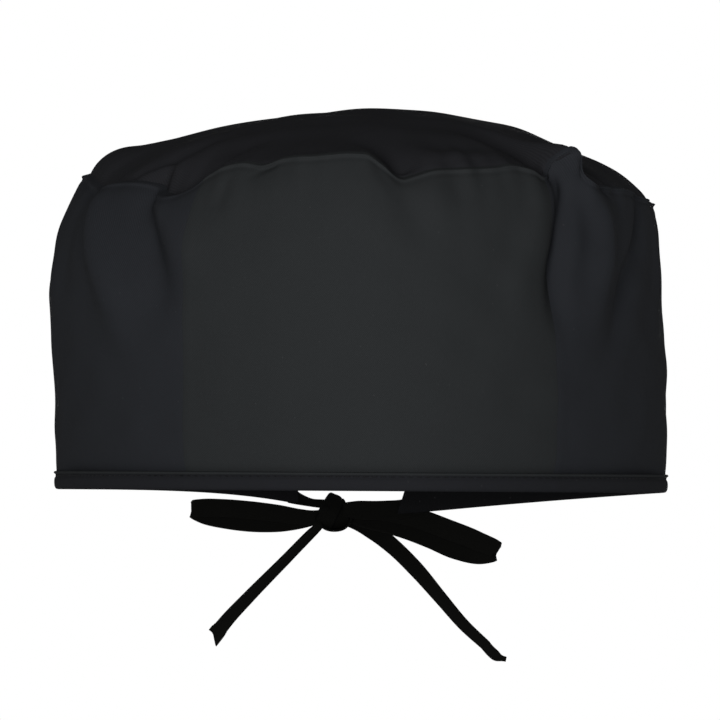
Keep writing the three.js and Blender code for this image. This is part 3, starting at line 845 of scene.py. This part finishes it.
RIGHT_LOOP = [
    (-6.6, 107.4, -5.6), (-1, 106.4, -5.7), (7, 105.8, -6.2), (16.4, 105.5, -8), (27, 105.7, -11.7),
    (35.8, 106.5, -15.1), (42.3, 108.6, -18.5), (38.2, 110.2, -19.6), (29.4, 110.4, -18.4),
    (20.9, 110.4, -15), (12, 110.3, -11.8), (2, 110.2, -9.4), (-6.2, 109.6, -7.6),
]
RIGHT_LOOP_ACROSS = [
    (0.1, 0, 1), (0.12, 0, 1), (0.18, -0.05, 1), (0.3, -0.1, 1), (0.36, -0.1, 1), (0.4, 0, 1), (0.42, 0, 1),
    (0.35, 0.3, 1), (0.32, 0.8, 1), (0.35, 1, 1), (0.35, 0.9, 1), (0.2, 0.5, 1), (0.1, 0.1, 1),
]
RIGHT_LOOP_WIDTHS = [0.6, 0.9, 1.0, 1.05, 1.05, 1.02, 0.93, 1.0, 1.05, 1.05, 1.0, 0.8, 0.5]
LEFT_TAIL = [
    (-12.2, 111.4, -9.8), (-15, 113.6, -12.6), (-23.4, 115.6, -21.3), (-34.7, 115.6, -32.9),
    (-41.6, 115.6, -40.4), (-43.6, 115.6, -42.9),
]
LEFT_TAIL_ACROSS = [
    (0.36, 0.92, -0.1), (0.34, 0.93, -0.3), (0.34, 0.9, -0.36), (0.42, 0.82, -0.42), (0.5, 0.74, -0.44),
    (0.54, 0.7, -0.44),
]
LEFT_TAIL_WIDTHS = [0.8, 0.92, 1, 1, 1, 1]
RIGHT_TAIL = [
    (-6.2, 112.2, -8.6), (-2.4, 114, -9.4), (3.6, 115.8, -12.4), (9.8, 116.2, -17.2), (17, 116.2, -24.2),
    (24.7, 116.2, -33.1), (32.3, 116.2, -41.8), (39.2, 116.2, -48.1),
]
RIGHT_TAIL_ACROSS = [
    (0.3, 0.2, 0.9), (0.42, 0.3, 0.85), (0.5, 0.45, 0.75), (0.56, 0.62, 0.56), (0.54, 0.66, 0.52),
    (0.46, 0.76, 0.44), (0.4, 0.82, 0.42), (0.36, 0.86, 0.38),
]
RIGHT_TAIL_WIDTHS = [0.6, 0.8, 1, 1.04, 1.04, 1, 0.96, 0.92]

left_loop, left_loop_line = tape("left_bow_loop_tape", LEFT_LOOP, LEFT_LOOP_ACROSS, LEFT_LOOP_WIDTHS, 110)
right_loop, right_loop_line = tape(
    "right_bow_loop_tape", RIGHT_LOOP, RIGHT_LOOP_ACROSS, RIGHT_LOOP_WIDTHS, 120
)
left_tail, left_tail_line = tape(
    "left_tail_tape", LEFT_TAIL, LEFT_TAIL_ACROSS, LEFT_TAIL_WIDTHS, 70, cup=0.5
)
right_tail, right_tail_line = tape(
    "right_tail_tape", RIGHT_TAIL, RIGHT_TAIL_ACROSS, RIGHT_TAIL_WIDTHS, 80, cup=0.6
)
left_tip, _ = tape(
    "left_tail_tip",
    [(-43.3, 115.6, -42.5), (-44.2, 115.6, -43.7), (-45.3, 115.6, -45.1)],
    [(0.54, 0.7, -0.44), (0.56, 0.66, -0.48), (0.6, 0.62, -0.52)],
    [1.03, 1.06, 1.04],
    10,
    cup=0.5,
    cut=(0, 0.75),
)
right_tip, _ = tape(
    "right_tail_tip",
    [(38.8, 116.2, -47.7), (40.6, 116.2, -49.7), (42.6, 116.2, -51.3), (45.4, 116.2, -52.1)],
    [(0.36, 0.86, 0.38), (0.4, 0.84, 0.34), (0.62, 0.76, 0.1), (0.8, 0.58, -0.1)],
    [0.93, 0.93, 0.96, 0.9],
    16,
    cup=0.4,
)
right_lead, _ = tape(
    "right_lead_tape",
    [
        (19.5, 102.2, -3.2), (16.6, 102.5, -4.5), (13, 102.9, -5.5), (8, 103.4, -5.9), (1, 104.2, -6),
        (-5.4, 105.4, -6),
    ],
    [(0.1, 0, 1), (0.1, 0, 1), (0.08, 0, 1), (0.04, 0, 1), (0.02, 0, 1), (0, 0, 1)],
    [1, 1, 1, 1, 0.98, 0.7],
    40,
)
left_lead, _ = tape(
    "left_lead_tape",
    [(-22, 101.6, -1.4), (-18.6, 102.3, -2.7), (-15, 103.2, -3.7), (-10.6, 105, -4.2)],
    [(0.3, 0.6, 0.8), (0.2, 0.85, 0.5), (0.1, 0.93, 0.34), (0.1, 0.9, 0.4)],
    [0.95, 0.95, 0.95, 0.9],
    30,
)


def tape_in_casing(name, start, end):
    """The drawstring's run inside a casing, from its mouth to where it is sewn down behind the ear."""
    angles = np.linspace(start, end, 24)
    route = rim_line(angles, -0.35, 4)
    return tape(name, route, np.tile([0.0, 0, 1], (24, 1)), np.full(24, 0.97), 90)[0]


tapes_in_casing = [
    tape_in_casing("left_tape_in_casing", SLIT_LEFT + 0.5, -EAR_ANGLE - 3),
    tape_in_casing("right_tape_in_casing", EAR_ANGLE + 3, SLIT_RIGHT - 0.5),
]


def turn_of_tape(name, centre, lean, side, height, depth, widths, count=64):
    """A closed turn of tape round the loops' roots: lean points along its visible run, side across it."""
    turn = np.linspace(0, 2 * math.pi, count, endpoint=False)
    lean, side = unit(np.array(lean, float)), unit(np.array(side, float))
    back = unit(np.cross(lean, side))
    line = centre + back * (depth * np.sin(turn))[:, None] + lean * (height * np.cos(turn))[:, None]
    along = np.roll(line, -1, axis=0) - np.roll(line, 1, axis=0)
    out = unit(np.cross(unit(along), side))
    out *= np.sign((out * (line - centre)).sum(axis=1))[:, None]
    section = np.asarray(TAPE_SECTION) * [1.0, 1.3]
    width = np.interp(np.abs(np.sin(turn / 2)), [0, 1], widths)
    crease = 0.16 * np.sin(section[:, 0] * 2.6) - 0.05 * section[:, 0] ** 2
    rings = (
        line[:, None]
        + side * section[None, :, :1] * width[:, None, None]
        + out[:, None] * (section[:, 1] + crease)[None, :, None]
    )
    k = len(section)
    index = np.arange(count * k).reshape(count, k)
    nxt, following = np.roll(index, -1, axis=0), np.roll(index, -1, axis=1)
    both = np.roll(nxt, -1, axis=1)
    faces = np.stack([index, nxt, both, following], axis=-1).reshape(-1, 4)
    uv = np.stack(np.broadcast_arrays((turn * height)[:, None], section[None, :, 0]), axis=-1)
    piece = link(name, rings.reshape(-1, 3), faces, uv.reshape(-1, 2))
    face_out(piece)
    return piece


knot = turn_of_tape(
    "bow_knot_wrap", KNOT + [-1.5, 0.2, -0.4], (0.46, 0, 0.89), (0.89, 0.05, -0.46), 5.3, 4.4, (0.86, 1.0)
)
inner_turn = turn_of_tape(
    "bow_knot_inner_turn", KNOT + [1.1, 1.2, -1.5], (-0.2, 0, 1), (1, 0.05, 0.2), 4, 3.2, (1.05, 1.1)
)
core, _ = tape(
    "bow_knot_core",
    [
        (-12.6, 108.4, -9.4), (-11.4, 107.6, -11.2), (-8.2, 107.2, -12), (-4.8, 107.3, -11.2),
        (-2.9, 107.6, -8.8), (-3.4, 108, -6),
    ],
    [(0, 1, 0), (0, 1, 0.1), (0, 1, 0.15), (0, 1, 0.1), (0.1, 1, 0), (0, 1, 0)],
    [0.7, 0.85, 0.9, 0.9, 0.8, 0.6],
    40,
)


# ---- materials ------------------------------------------------------------------------------------
def group_with(name, inputs, outputs):
    group = bpy.data.node_groups.new(name, "ShaderNodeTree")
    for label, kind, value in inputs:
        socket = group.interface.new_socket(label, in_out="INPUT", socket_type=kind)
        if value is not None:
            socket.default_value = value
    for label, kind in outputs:
        group.interface.new_socket(label, in_out="OUTPUT", socket_type=kind)
    return group, group.nodes.new("NodeGroupInput"), group.nodes.new("NodeGroupOutput")


def maths(tree, operation, first, second=None, third=None):
    """A Math node; its inputs are sockets or numbers, and it returns its output socket."""
    node = tree.nodes.new("ShaderNodeMath")
    node.operation = operation
    for slot, value in enumerate((first, second, third)):
        if value is None:
            continue
        if isinstance(value, (int, float)):
            node.inputs[slot].default_value = value
        else:
            tree.links.new(value, node.inputs[slot])
    return node.outputs[0]


def twill_group():
    """Fine diagonal ribs crossed by yarns. Pitch and the vector are in metres."""
    group, given, result = group_with(
        "Twill weave",
        [
            ("Vector", "NodeSocketVector", None),
            ("Pitch", "NodeSocketFloat", 0.0006),
            ("Steepness", "NodeSocketFloat", -0.8),
        ],
        [("Height", "NodeSocketFloat"), ("Shade", "NodeSocketFloat")],
    )
    split = group.nodes.new("ShaderNodeSeparateXYZ")
    group.links.new(given.outputs["Vector"], split.inputs[0])
    wobble = group.nodes.new("ShaderNodeTexNoise")
    wobble.inputs["Scale"].default_value = 220
    wobble.inputs["Detail"].default_value = 2
    group.links.new(given.outputs["Vector"], wobble.inputs["Vector"])
    u = maths(group, "DIVIDE", split.outputs[0], given.outputs["Pitch"])
    v = maths(group, "DIVIDE", split.outputs[1], given.outputs["Pitch"])
    slanted = maths(group, "MULTIPLY", v, given.outputs["Steepness"])
    diagonal = maths(group, "SUBTRACT", u, slanted)
    shifted = maths(group, "ADD", diagonal, maths(group, "MULTIPLY", wobble.outputs[0], 0.9))
    rib = maths(group, "SINE", maths(group, "MULTIPLY", shifted, 2 * math.pi))
    yarn = maths(group, "SINE", maths(group, "MULTIPLY", v, 4 * math.pi))
    crossed = maths(group, "MULTIPLY", maths(group, "MULTIPLY", rib, yarn), 0.35)
    height = maths(group, "MULTIPLY_ADD", maths(group, "ADD", rib, crossed), 0.37, 0.5)
    group.links.new(height, result.inputs["Height"])
    # Shade is the colour's factor, darker where the weave is low: painted shade in the hollows between the
    # ribs.
    group.links.new(maths(group, "MULTIPLY_ADD", height, 0.3, 0.85), result.inputs["Shade"])
    return group


def wear_group():
    """Uneven dye, faint handling marks and a little lint: a factor near 1, and a mask of lint specks."""
    group, given, result = group_with(
        "Cloth wear",
        [
            ("Vector", "NodeSocketVector", None),
            ("Cloudiness", "NodeSocketFloat", 0.12),
            ("Lint", "NodeSocketFloat", 0.5),
        ],
        [("Shade", "NodeSocketFloat"), ("Lint mask", "NodeSocketFloat"), ("Roughness", "NodeSocketFloat")],
    )
    clouds, fine, dots = (group.nodes.new("ShaderNodeTexNoise") for _ in range(3))
    for texture, scale, detail in ((clouds, 22, 4), (fine, 420, 3), (dots, 900, 1)):
        texture.inputs["Scale"].default_value = scale
        texture.inputs["Detail"].default_value = detail
        group.links.new(given.outputs["Vector"], texture.inputs["Vector"])
    centred = maths(group, "SUBTRACT", clouds.outputs[0], 0.5)
    mottled = maths(group, "SUBTRACT", fine.outputs[0], 0.5)
    both = maths(group, "ADD", centred, maths(group, "MULTIPLY", mottled, 0.6))
    shade = maths(group, "MULTIPLY_ADD", both, given.outputs["Cloudiness"], 1.0)
    specks = maths(group, "GREATER_THAN", dots.outputs[0], 0.79)
    group.links.new(shade, result.inputs["Shade"])
    group.links.new(maths(group, "MULTIPLY", specks, given.outputs["Lint"]), result.inputs["Lint mask"])
    group.links.new(maths(group, "MULTIPLY_ADD", mottled, 0.12, 0.82), result.inputs["Roughness"])
    return group


TWILL_WEAVE, CLOTH_WEAR = twill_group(), wear_group()


def cloth_material(name, colour, pitch, steepness=-0.8, relief=0.00006, strength=0.55, sheen=0.0, lint=0.3,
                   clouds=0.14):
    """Woven cloth. colour is linear; relief is the height of the weave in metres."""
    material = bpy.data.materials.new(name)
    material.use_nodes = True
    tree = material.node_tree
    shader = tree.nodes["Principled BSDF"]
    shader.inputs["Sheen Weight"].default_value = sheen
    shader.inputs["Sheen Roughness"].default_value = 0.5
    shader.inputs["Specular IOR Level"].default_value = 0.06
    place = tree.nodes.new("ShaderNodeUVMap")
    place.uv_map = "Cloth"
    weave = tree.nodes.new("ShaderNodeGroup")
    weave.node_tree = TWILL_WEAVE
    weave.inputs["Pitch"].default_value = pitch
    weave.inputs["Steepness"].default_value = steepness
    wear = tree.nodes.new("ShaderNodeGroup")
    wear.node_tree = CLOTH_WEAR
    wear.inputs["Cloudiness"].default_value = clouds
    wear.inputs["Lint"].default_value = lint
    tree.links.new(place.outputs["UV"], weave.inputs["Vector"])
    position = tree.nodes.new("ShaderNodeTexCoord")
    tree.links.new(position.outputs["Object"], wear.inputs["Vector"])
    # The colour is the weave's painted shade in its hollows times the dye's uneven tone.
    shade = maths(tree, "MULTIPLY", weave.outputs["Shade"], wear.outputs["Shade"])
    tint = tree.nodes.new("ShaderNodeMix")
    tint.data_type = "RGBA"
    tint.inputs["A"].default_value = (0, 0, 0, 1)
    tint.inputs["B"].default_value = (colour[0] * 1.25, colour[1] * 1.25, colour[2] * 1.25, 1)
    tree.links.new(maths(tree, "MULTIPLY", shade, 0.8), tint.inputs["Factor"])
    linty = tree.nodes.new("ShaderNodeMix")
    linty.data_type = "RGBA"
    linty.inputs["B"].default_value = (0.08, 0.08, 0.085, 1)
    tree.links.new(tint.outputs["Result"], linty.inputs["A"])
    tree.links.new(wear.outputs["Lint mask"], linty.inputs["Factor"])
    tree.links.new(linty.outputs["Result"], shader.inputs["Base Color"])
    tree.links.new(wear.outputs["Roughness"], shader.inputs["Roughness"])
    bump = tree.nodes.new("ShaderNodeBump")
    bump.inputs["Strength"].default_value = strength
    bump.inputs["Distance"].default_value = relief
    tree.links.new(weave.outputs["Height"], bump.inputs["Height"])
    tree.links.new(bump.outputs["Normal"], shader.inputs["Normal"])
    return material


def thread_material():
    material = bpy.data.materials.new("Black sewing thread")
    material.use_nodes = True
    tree = material.node_tree
    shader = tree.nodes["Principled BSDF"]
    shader.inputs["Specular IOR Level"].default_value = 0.1
    place = tree.nodes.new("ShaderNodeTexCoord")
    twist = tree.nodes.new("ShaderNodeTexWave")
    twist.bands_direction = "DIAGONAL"
    twist.inputs["Scale"].default_value = 900
    tree.links.new(place.outputs["Object"], twist.inputs["Vector"])
    ramp = tree.nodes.new("ShaderNodeValToRGB")
    ramp.color_ramp.elements[0].color = (0.006, 0.006, 0.0065, 1)
    ramp.color_ramp.elements[1].color = (0.02, 0.0205, 0.022, 1)
    tree.links.new(twist.outputs["Fac"], ramp.inputs["Fac"])
    tree.links.new(ramp.outputs["Color"], shader.inputs["Base Color"])
    tree.links.new(maths(tree, "MULTIPLY_ADD", twist.outputs["Fac"], 0.15, 0.5), shader.inputs["Roughness"])
    return material


TWILL = cloth_material("Black twill", (0.029, 0.0315, 0.033), 0.0006)
# The sides and casings take a bluer, darker copy of the front's twill; the darker value is painted shade for
# the sides turned from the front light.
SIDE_TWILL_PAINTED_SHADE = cloth_material("Black twill, sides, bluer with painted shade", (0.0255, 0.0275, 0.032), 0.0006)
# The crown takes a darker copy of the same twill: painted shade for its top, which faces away from the front
# light.
CROWN_TWILL_PAINTED_SHADE = cloth_material("Black twill, crown, painted shade", (0.0235, 0.0238, 0.027), 0.0006)
# The hem takes a darker copy of the same twill: painted shade on the turned-up band, whose ridge keeps the
# wall's lighter twill.
HEM_TWILL_PAINTED_SHADE = cloth_material("Black twill, hem, painted shade", (0.0195, 0.0203, 0.0235), 0.0006)
# Dark tape for the bindings and seam tapes, and also on the inside faces of the hem and casings, where it
# paints shade on the same twill.
LINING_TAPE_AND_INSIDE_SHADE = cloth_material("Black lining tape, and painted shade inside bands", (0.0105, 0.0108, 0.012), 0.0005, steepness=0.0)
TIE_TAPE = cloth_material(
    "Black tie tape", (0.0068, 0.0068, 0.006), 0.0005, steepness=0.9, strength=0.12, lint=0.02, clouds=0.3
)
TOWELLING = cloth_material(
    "Black towelling", (0.015, 0.016, 0.0175), 0.0011, steepness=0.1, relief=0.0004, strength=0.8, sheen=0.3
)
THREAD = thread_material()


def dress_band(band, section, outer, inner, ridge=None):
    """Gives a rim band one cloth outside, a darker one inside as painted shade, and a third on the ridge over
    the stitching.
    """
    section = np.asarray(section)
    points = len(section)
    facing = section[:, 1] > section[:, 1].mean() + 0.1
    band.data.materials.append(outer)
    band.data.materials.append(inner)
    band.data.materials.append(ridge or outer)
    on_ridge = [0.2 < out and height > 4.8 for height, out in section]
    for polygon in band.data.polygons:
        if len(polygon.vertices) != 4:
            continue
        column = min(v % points for v in polygon.vertices)
        if facing[column]:
            # Ridge faces take the ridge material; on the hem that is the wall's lighter twill beside the
            # band's darker, shaded copy.
            polygon.material_index = 2 if on_ridge[column] else 0
        else:
            # Faces turned inward take the dark inside material: painted shade.
            polygon.material_index = 1


def dress(pieces, material):
    for piece in pieces:
        piece.data.materials.clear()
        piece.data.materials.append(material)


dress([front_panel], TWILL)
dress([left_panel, right_panel], SIDE_TWILL_PAINTED_SHADE)
dress([crown], CROWN_TWILL_PAINTED_SHADE)
dress_band(hem, HEM_SECTION, HEM_TWILL_PAINTED_SHADE, LINING_TAPE_AND_INSIDE_SHADE, TWILL)
dress_band(left_casing, CASING_SECTION, SIDE_TWILL_PAINTED_SHADE, LINING_TAPE_AND_INSIDE_SHADE)
dress_band(right_casing, CASING_SECTION, SIDE_TWILL_PAINTED_SHADE, LINING_TAPE_AND_INSIDE_SHADE)
dress([binding, crown_tape, back_tape, *seam_tapes], LINING_TAPE_AND_INSIDE_SHADE)
dress([sweatband], TOWELLING)
ties = [left_loop, right_loop, left_tail, right_tail, left_tip, right_tip, left_lead, right_lead]
ties += [knot, core, inner_turn, *tapes_in_casing]
dress(ties, TIE_TAPE)


# ---- stitching ------------------------------------------------------------------------------------
front = np.linspace(-EAR_ANGLE + 0.4, EAR_ANGLE - 0.4, 300)
left_back = np.linspace(SLIT_LEFT + 0.6, -EAR_ANGLE - 0.6, 140)
right_back = np.linspace(EAR_ANGLE + 0.6, SLIT_RIGHT - 0.6, 140)
rim_stitch_lines = [rim_line(front, hem_relief(front) - 0.06, 4.28)]
for run in (left_back, right_back):
    rim_stitch_lines.append(rim_line(run, 0.44 + casing_relief(run), 8.15))
topstitching = sewn("rim_topstitching", rim_stitch_lines, 2.7, 2.2, 0.16, THREAD)


def across_bars(centre, along, up, count, spacing):
    """Side-by-side short lines for a bar tack."""
    lines = []
    for i in range(count):
        middle = centre + along * (i - (count - 1) / 2) * spacing
        lines.append(np.linspace(middle - up, middle + up, 3))
    return lines


def bar_tack(name, angle, out, z, upright, breadth=0.8, rows=12):
    """A dense bar of thread across the rim (upright) or along it."""
    centre = rim_line([angle], out, z)[0]
    along = unit(rim_line([angle + 0.2], out, z)[0] - rim_line([angle - 0.2], out, z)[0])
    up = np.array([0.0, 0, 1])
    long_way, short_way = (up, along) if upright else (along, up)
    lines = across_bars(centre, long_way, short_way * breadth, rows, 0.42)
    return sewn(name, lines, breadth * 0.95, breadth * 1.3, 0.2, THREAD)


bar_tacks = [
    bar_tack("left_casing_tack", -EAR_ANGLE - 1.6, 1.1, 4.6, True, rows=14),
    bar_tack("right_casing_tack", EAR_ANGLE + 1.6, 1.1, 4.6, True, rows=14),
]
slit_top = wall_surface(np.array([180 - math.degrees(math.asin(SLIT_CENTRE / HALF_WIDTH))]), rise_at(43.4))[0]
slit_lines = across_bars(slit_top + [0, 0.1, 0], np.array([1.0, 0, 0]), np.array([0, 0, 0.8]), 17, 0.42)
slit_tack = sewn("slit_tack", slit_lines, 0.76, 1.05, 0.2, THREAD)


# ---- who rides on what ----------------------------------------------------------------------------
def put(piece, body, *nodes, slot=None):
    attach(piece, body)
    if nodes:
        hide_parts(*nodes)


put(front_panel, "cap", "front_panel", slot="twill")
put(left_panel, "cap", "left_side_panel", slot="twill")
put(right_panel, "cap", "right_side_panel", slot="twill")
put(crown, "cap", "crown_panel", slot="crown_twill")
put(hem, "cap", "front_hem", slot="twill")
put(left_casing, "cap", "left_back_casing", slot="twill")
put(right_casing, "cap", "right_back_casing", slot="twill")
put(binding, "cap", "back_opening_binding", slot="lining_tape")
put(crown_tape, "cap", "crown_seam_binding", slot="lining_tape")
put(back_tape, "cap", "back_seam_binding", slot="lining_tape")
put(seam_tapes[0], "cap", "left_panel_seam_binding", slot="lining_tape")
put(seam_tapes[1], "cap", "right_panel_seam_binding", slot="lining_tape")
put(sweatband, "cap", "forehead_sweatband", slot="towelling")
put(topstitching, "cap", slot="thread")
put(bar_tacks[0], "cap", "left_casing_bar_tack", slot="thread")
put(bar_tacks[1], "cap", "right_casing_bar_tack", slot="thread")
put(slit_tack, "cap", "slit_bar_tack", slot="thread")
put(knot, "bow", "bow_knot", slot="tie_tape")
put(core, "bow", slot="tie_tape")
put(inner_turn, "bow", slot="tie_tape")
put(left_loop, "left_loop", "left_bow_loop", slot="tie_tape")
put(right_loop, "right_loop", "right_bow_loop", slot="tie_tape")
put(left_tail, "left_tail", "left_tie_tail", slot="tie_tape")
put(right_tail, "right_tail", "right_tie_tail", slot="tie_tape")
put(left_tip, "left_tail", "left_tie_tip", slot="tie_tape")
put(right_tip, "right_tail", "right_tie_tip", slot="tie_tape")
for lead, node, start, end in (
    (left_lead, "left_tie_lead", (-0.019, 0.1025, -0.0012), (-0.0105, 0.1052, -0.0052)),
    (right_lead, "right_tie_lead", (0.0138, 0.1029, -0.0034), (-0.0054, 0.1054, -0.006)),
):
    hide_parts(node)
    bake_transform(lead)
put(tapes_in_casing[0], "cap", "left_tie_in_casing", slot="tie_tape")
put(tapes_in_casing[1], "cap", "right_tie_in_casing", slot="tie_tape")


# ---- floor, light ---------------------------------------------------------------------------------
def stage_floor():
    size, height = 1600, -90
    mesh = bpy.data.meshes.new("Floor")
    corners = [(-size, -size, height), (size, -size, height), (size, size, height), (-size, size, height)]
    mesh.from_pydata([Vector(c) * MM for c in corners], [], [(0, 1, 2, 3)])
    floor = bpy.data.objects.new("Floor", mesh)
    bpy.context.scene.collection.objects.link(floor)
    material = bpy.data.materials.new("Pale floor")
    material.use_nodes = True
    tree = material.node_tree
    shader = tree.nodes["Principled BSDF"]
    shader.inputs["Base Color"].default_value = (0.86, 0.86, 0.86, 1)
    shader.inputs["Roughness"].default_value = 0.9
    clear, join = tree.nodes.new("ShaderNodeBsdfTransparent"), tree.nodes.new("ShaderNodeMixShader")
    geometry, place = tree.nodes.new("ShaderNodeNewGeometry"), tree.nodes.new("ShaderNodeTexCoord")
    length = tree.nodes.new("ShaderNodeVectorMath")
    length.operation = "LENGTH"
    tree.links.new(place.outputs["Object"], length.inputs[0])
    fade = tree.nodes.new("ShaderNodeMapRange")
    fade.interpolation_type = "SMOOTHSTEP"
    fade.inputs["From Min"].default_value = 0.35
    fade.inputs["From Max"].default_value = 1.5
    tree.links.new(length.outputs["Value"], fade.inputs["Value"])
    unseen = maths(tree, "MAXIMUM", fade.outputs[0], geometry.outputs["Backfacing"])
    tree.links.new(unseen, join.inputs[0])
    tree.links.new(shader.outputs[0], join.inputs[1])
    tree.links.new(clear.outputs[0], join.inputs[2])
    tree.links.new(join.outputs[0], tree.nodes["Material Output"].inputs["Surface"])
    mesh.materials.append(material)


def soft_light(name, place, size, power):
    data = bpy.data.lights.new(name, "AREA")
    data.shape = "DISK"
    data.size = size * MM
    data.energy = power
    light = bpy.data.objects.new(name, data)
    light.location = Vector(place) * MM
    light.rotation_euler = (Vector((0, 0, 45 * MM)) - light.location).to_track_quat("-Z", "Y").to_euler()
    bpy.context.scene.collection.objects.link(light)


def studio():
    scene = bpy.context.scene
    scene.view_settings.view_transform = "Standard"
    scene.view_settings.look = "None"
    world = bpy.data.worlds.new("Studio")
    scene.world = world
    world.use_nodes = True
    tree = world.node_tree
    behind = tree.nodes["Background"]
    behind.inputs["Color"].default_value = (1, 1, 1, 1)
    seen = tree.nodes.new("ShaderNodeLightPath")
    strength = maths(tree, "MULTIPLY_ADD", seen.outputs["Is Camera Ray"], 0.93, 0.07)
    tree.links.new(strength, behind.inputs["Strength"])
    soft_light("Front", (-120, -1500, 20), 600, 15)
    soft_light("Left back", (-1300, 700, 200), 800, 2.2)
    soft_light("Right back", (1300, 700, 200), 800, 2.6)
    soft_light("Above", (0, 300, 1300), 900, 1.5)
    soft_light("Back", (0, 1500, 40), 600, 5)


stage_floor()
studio()
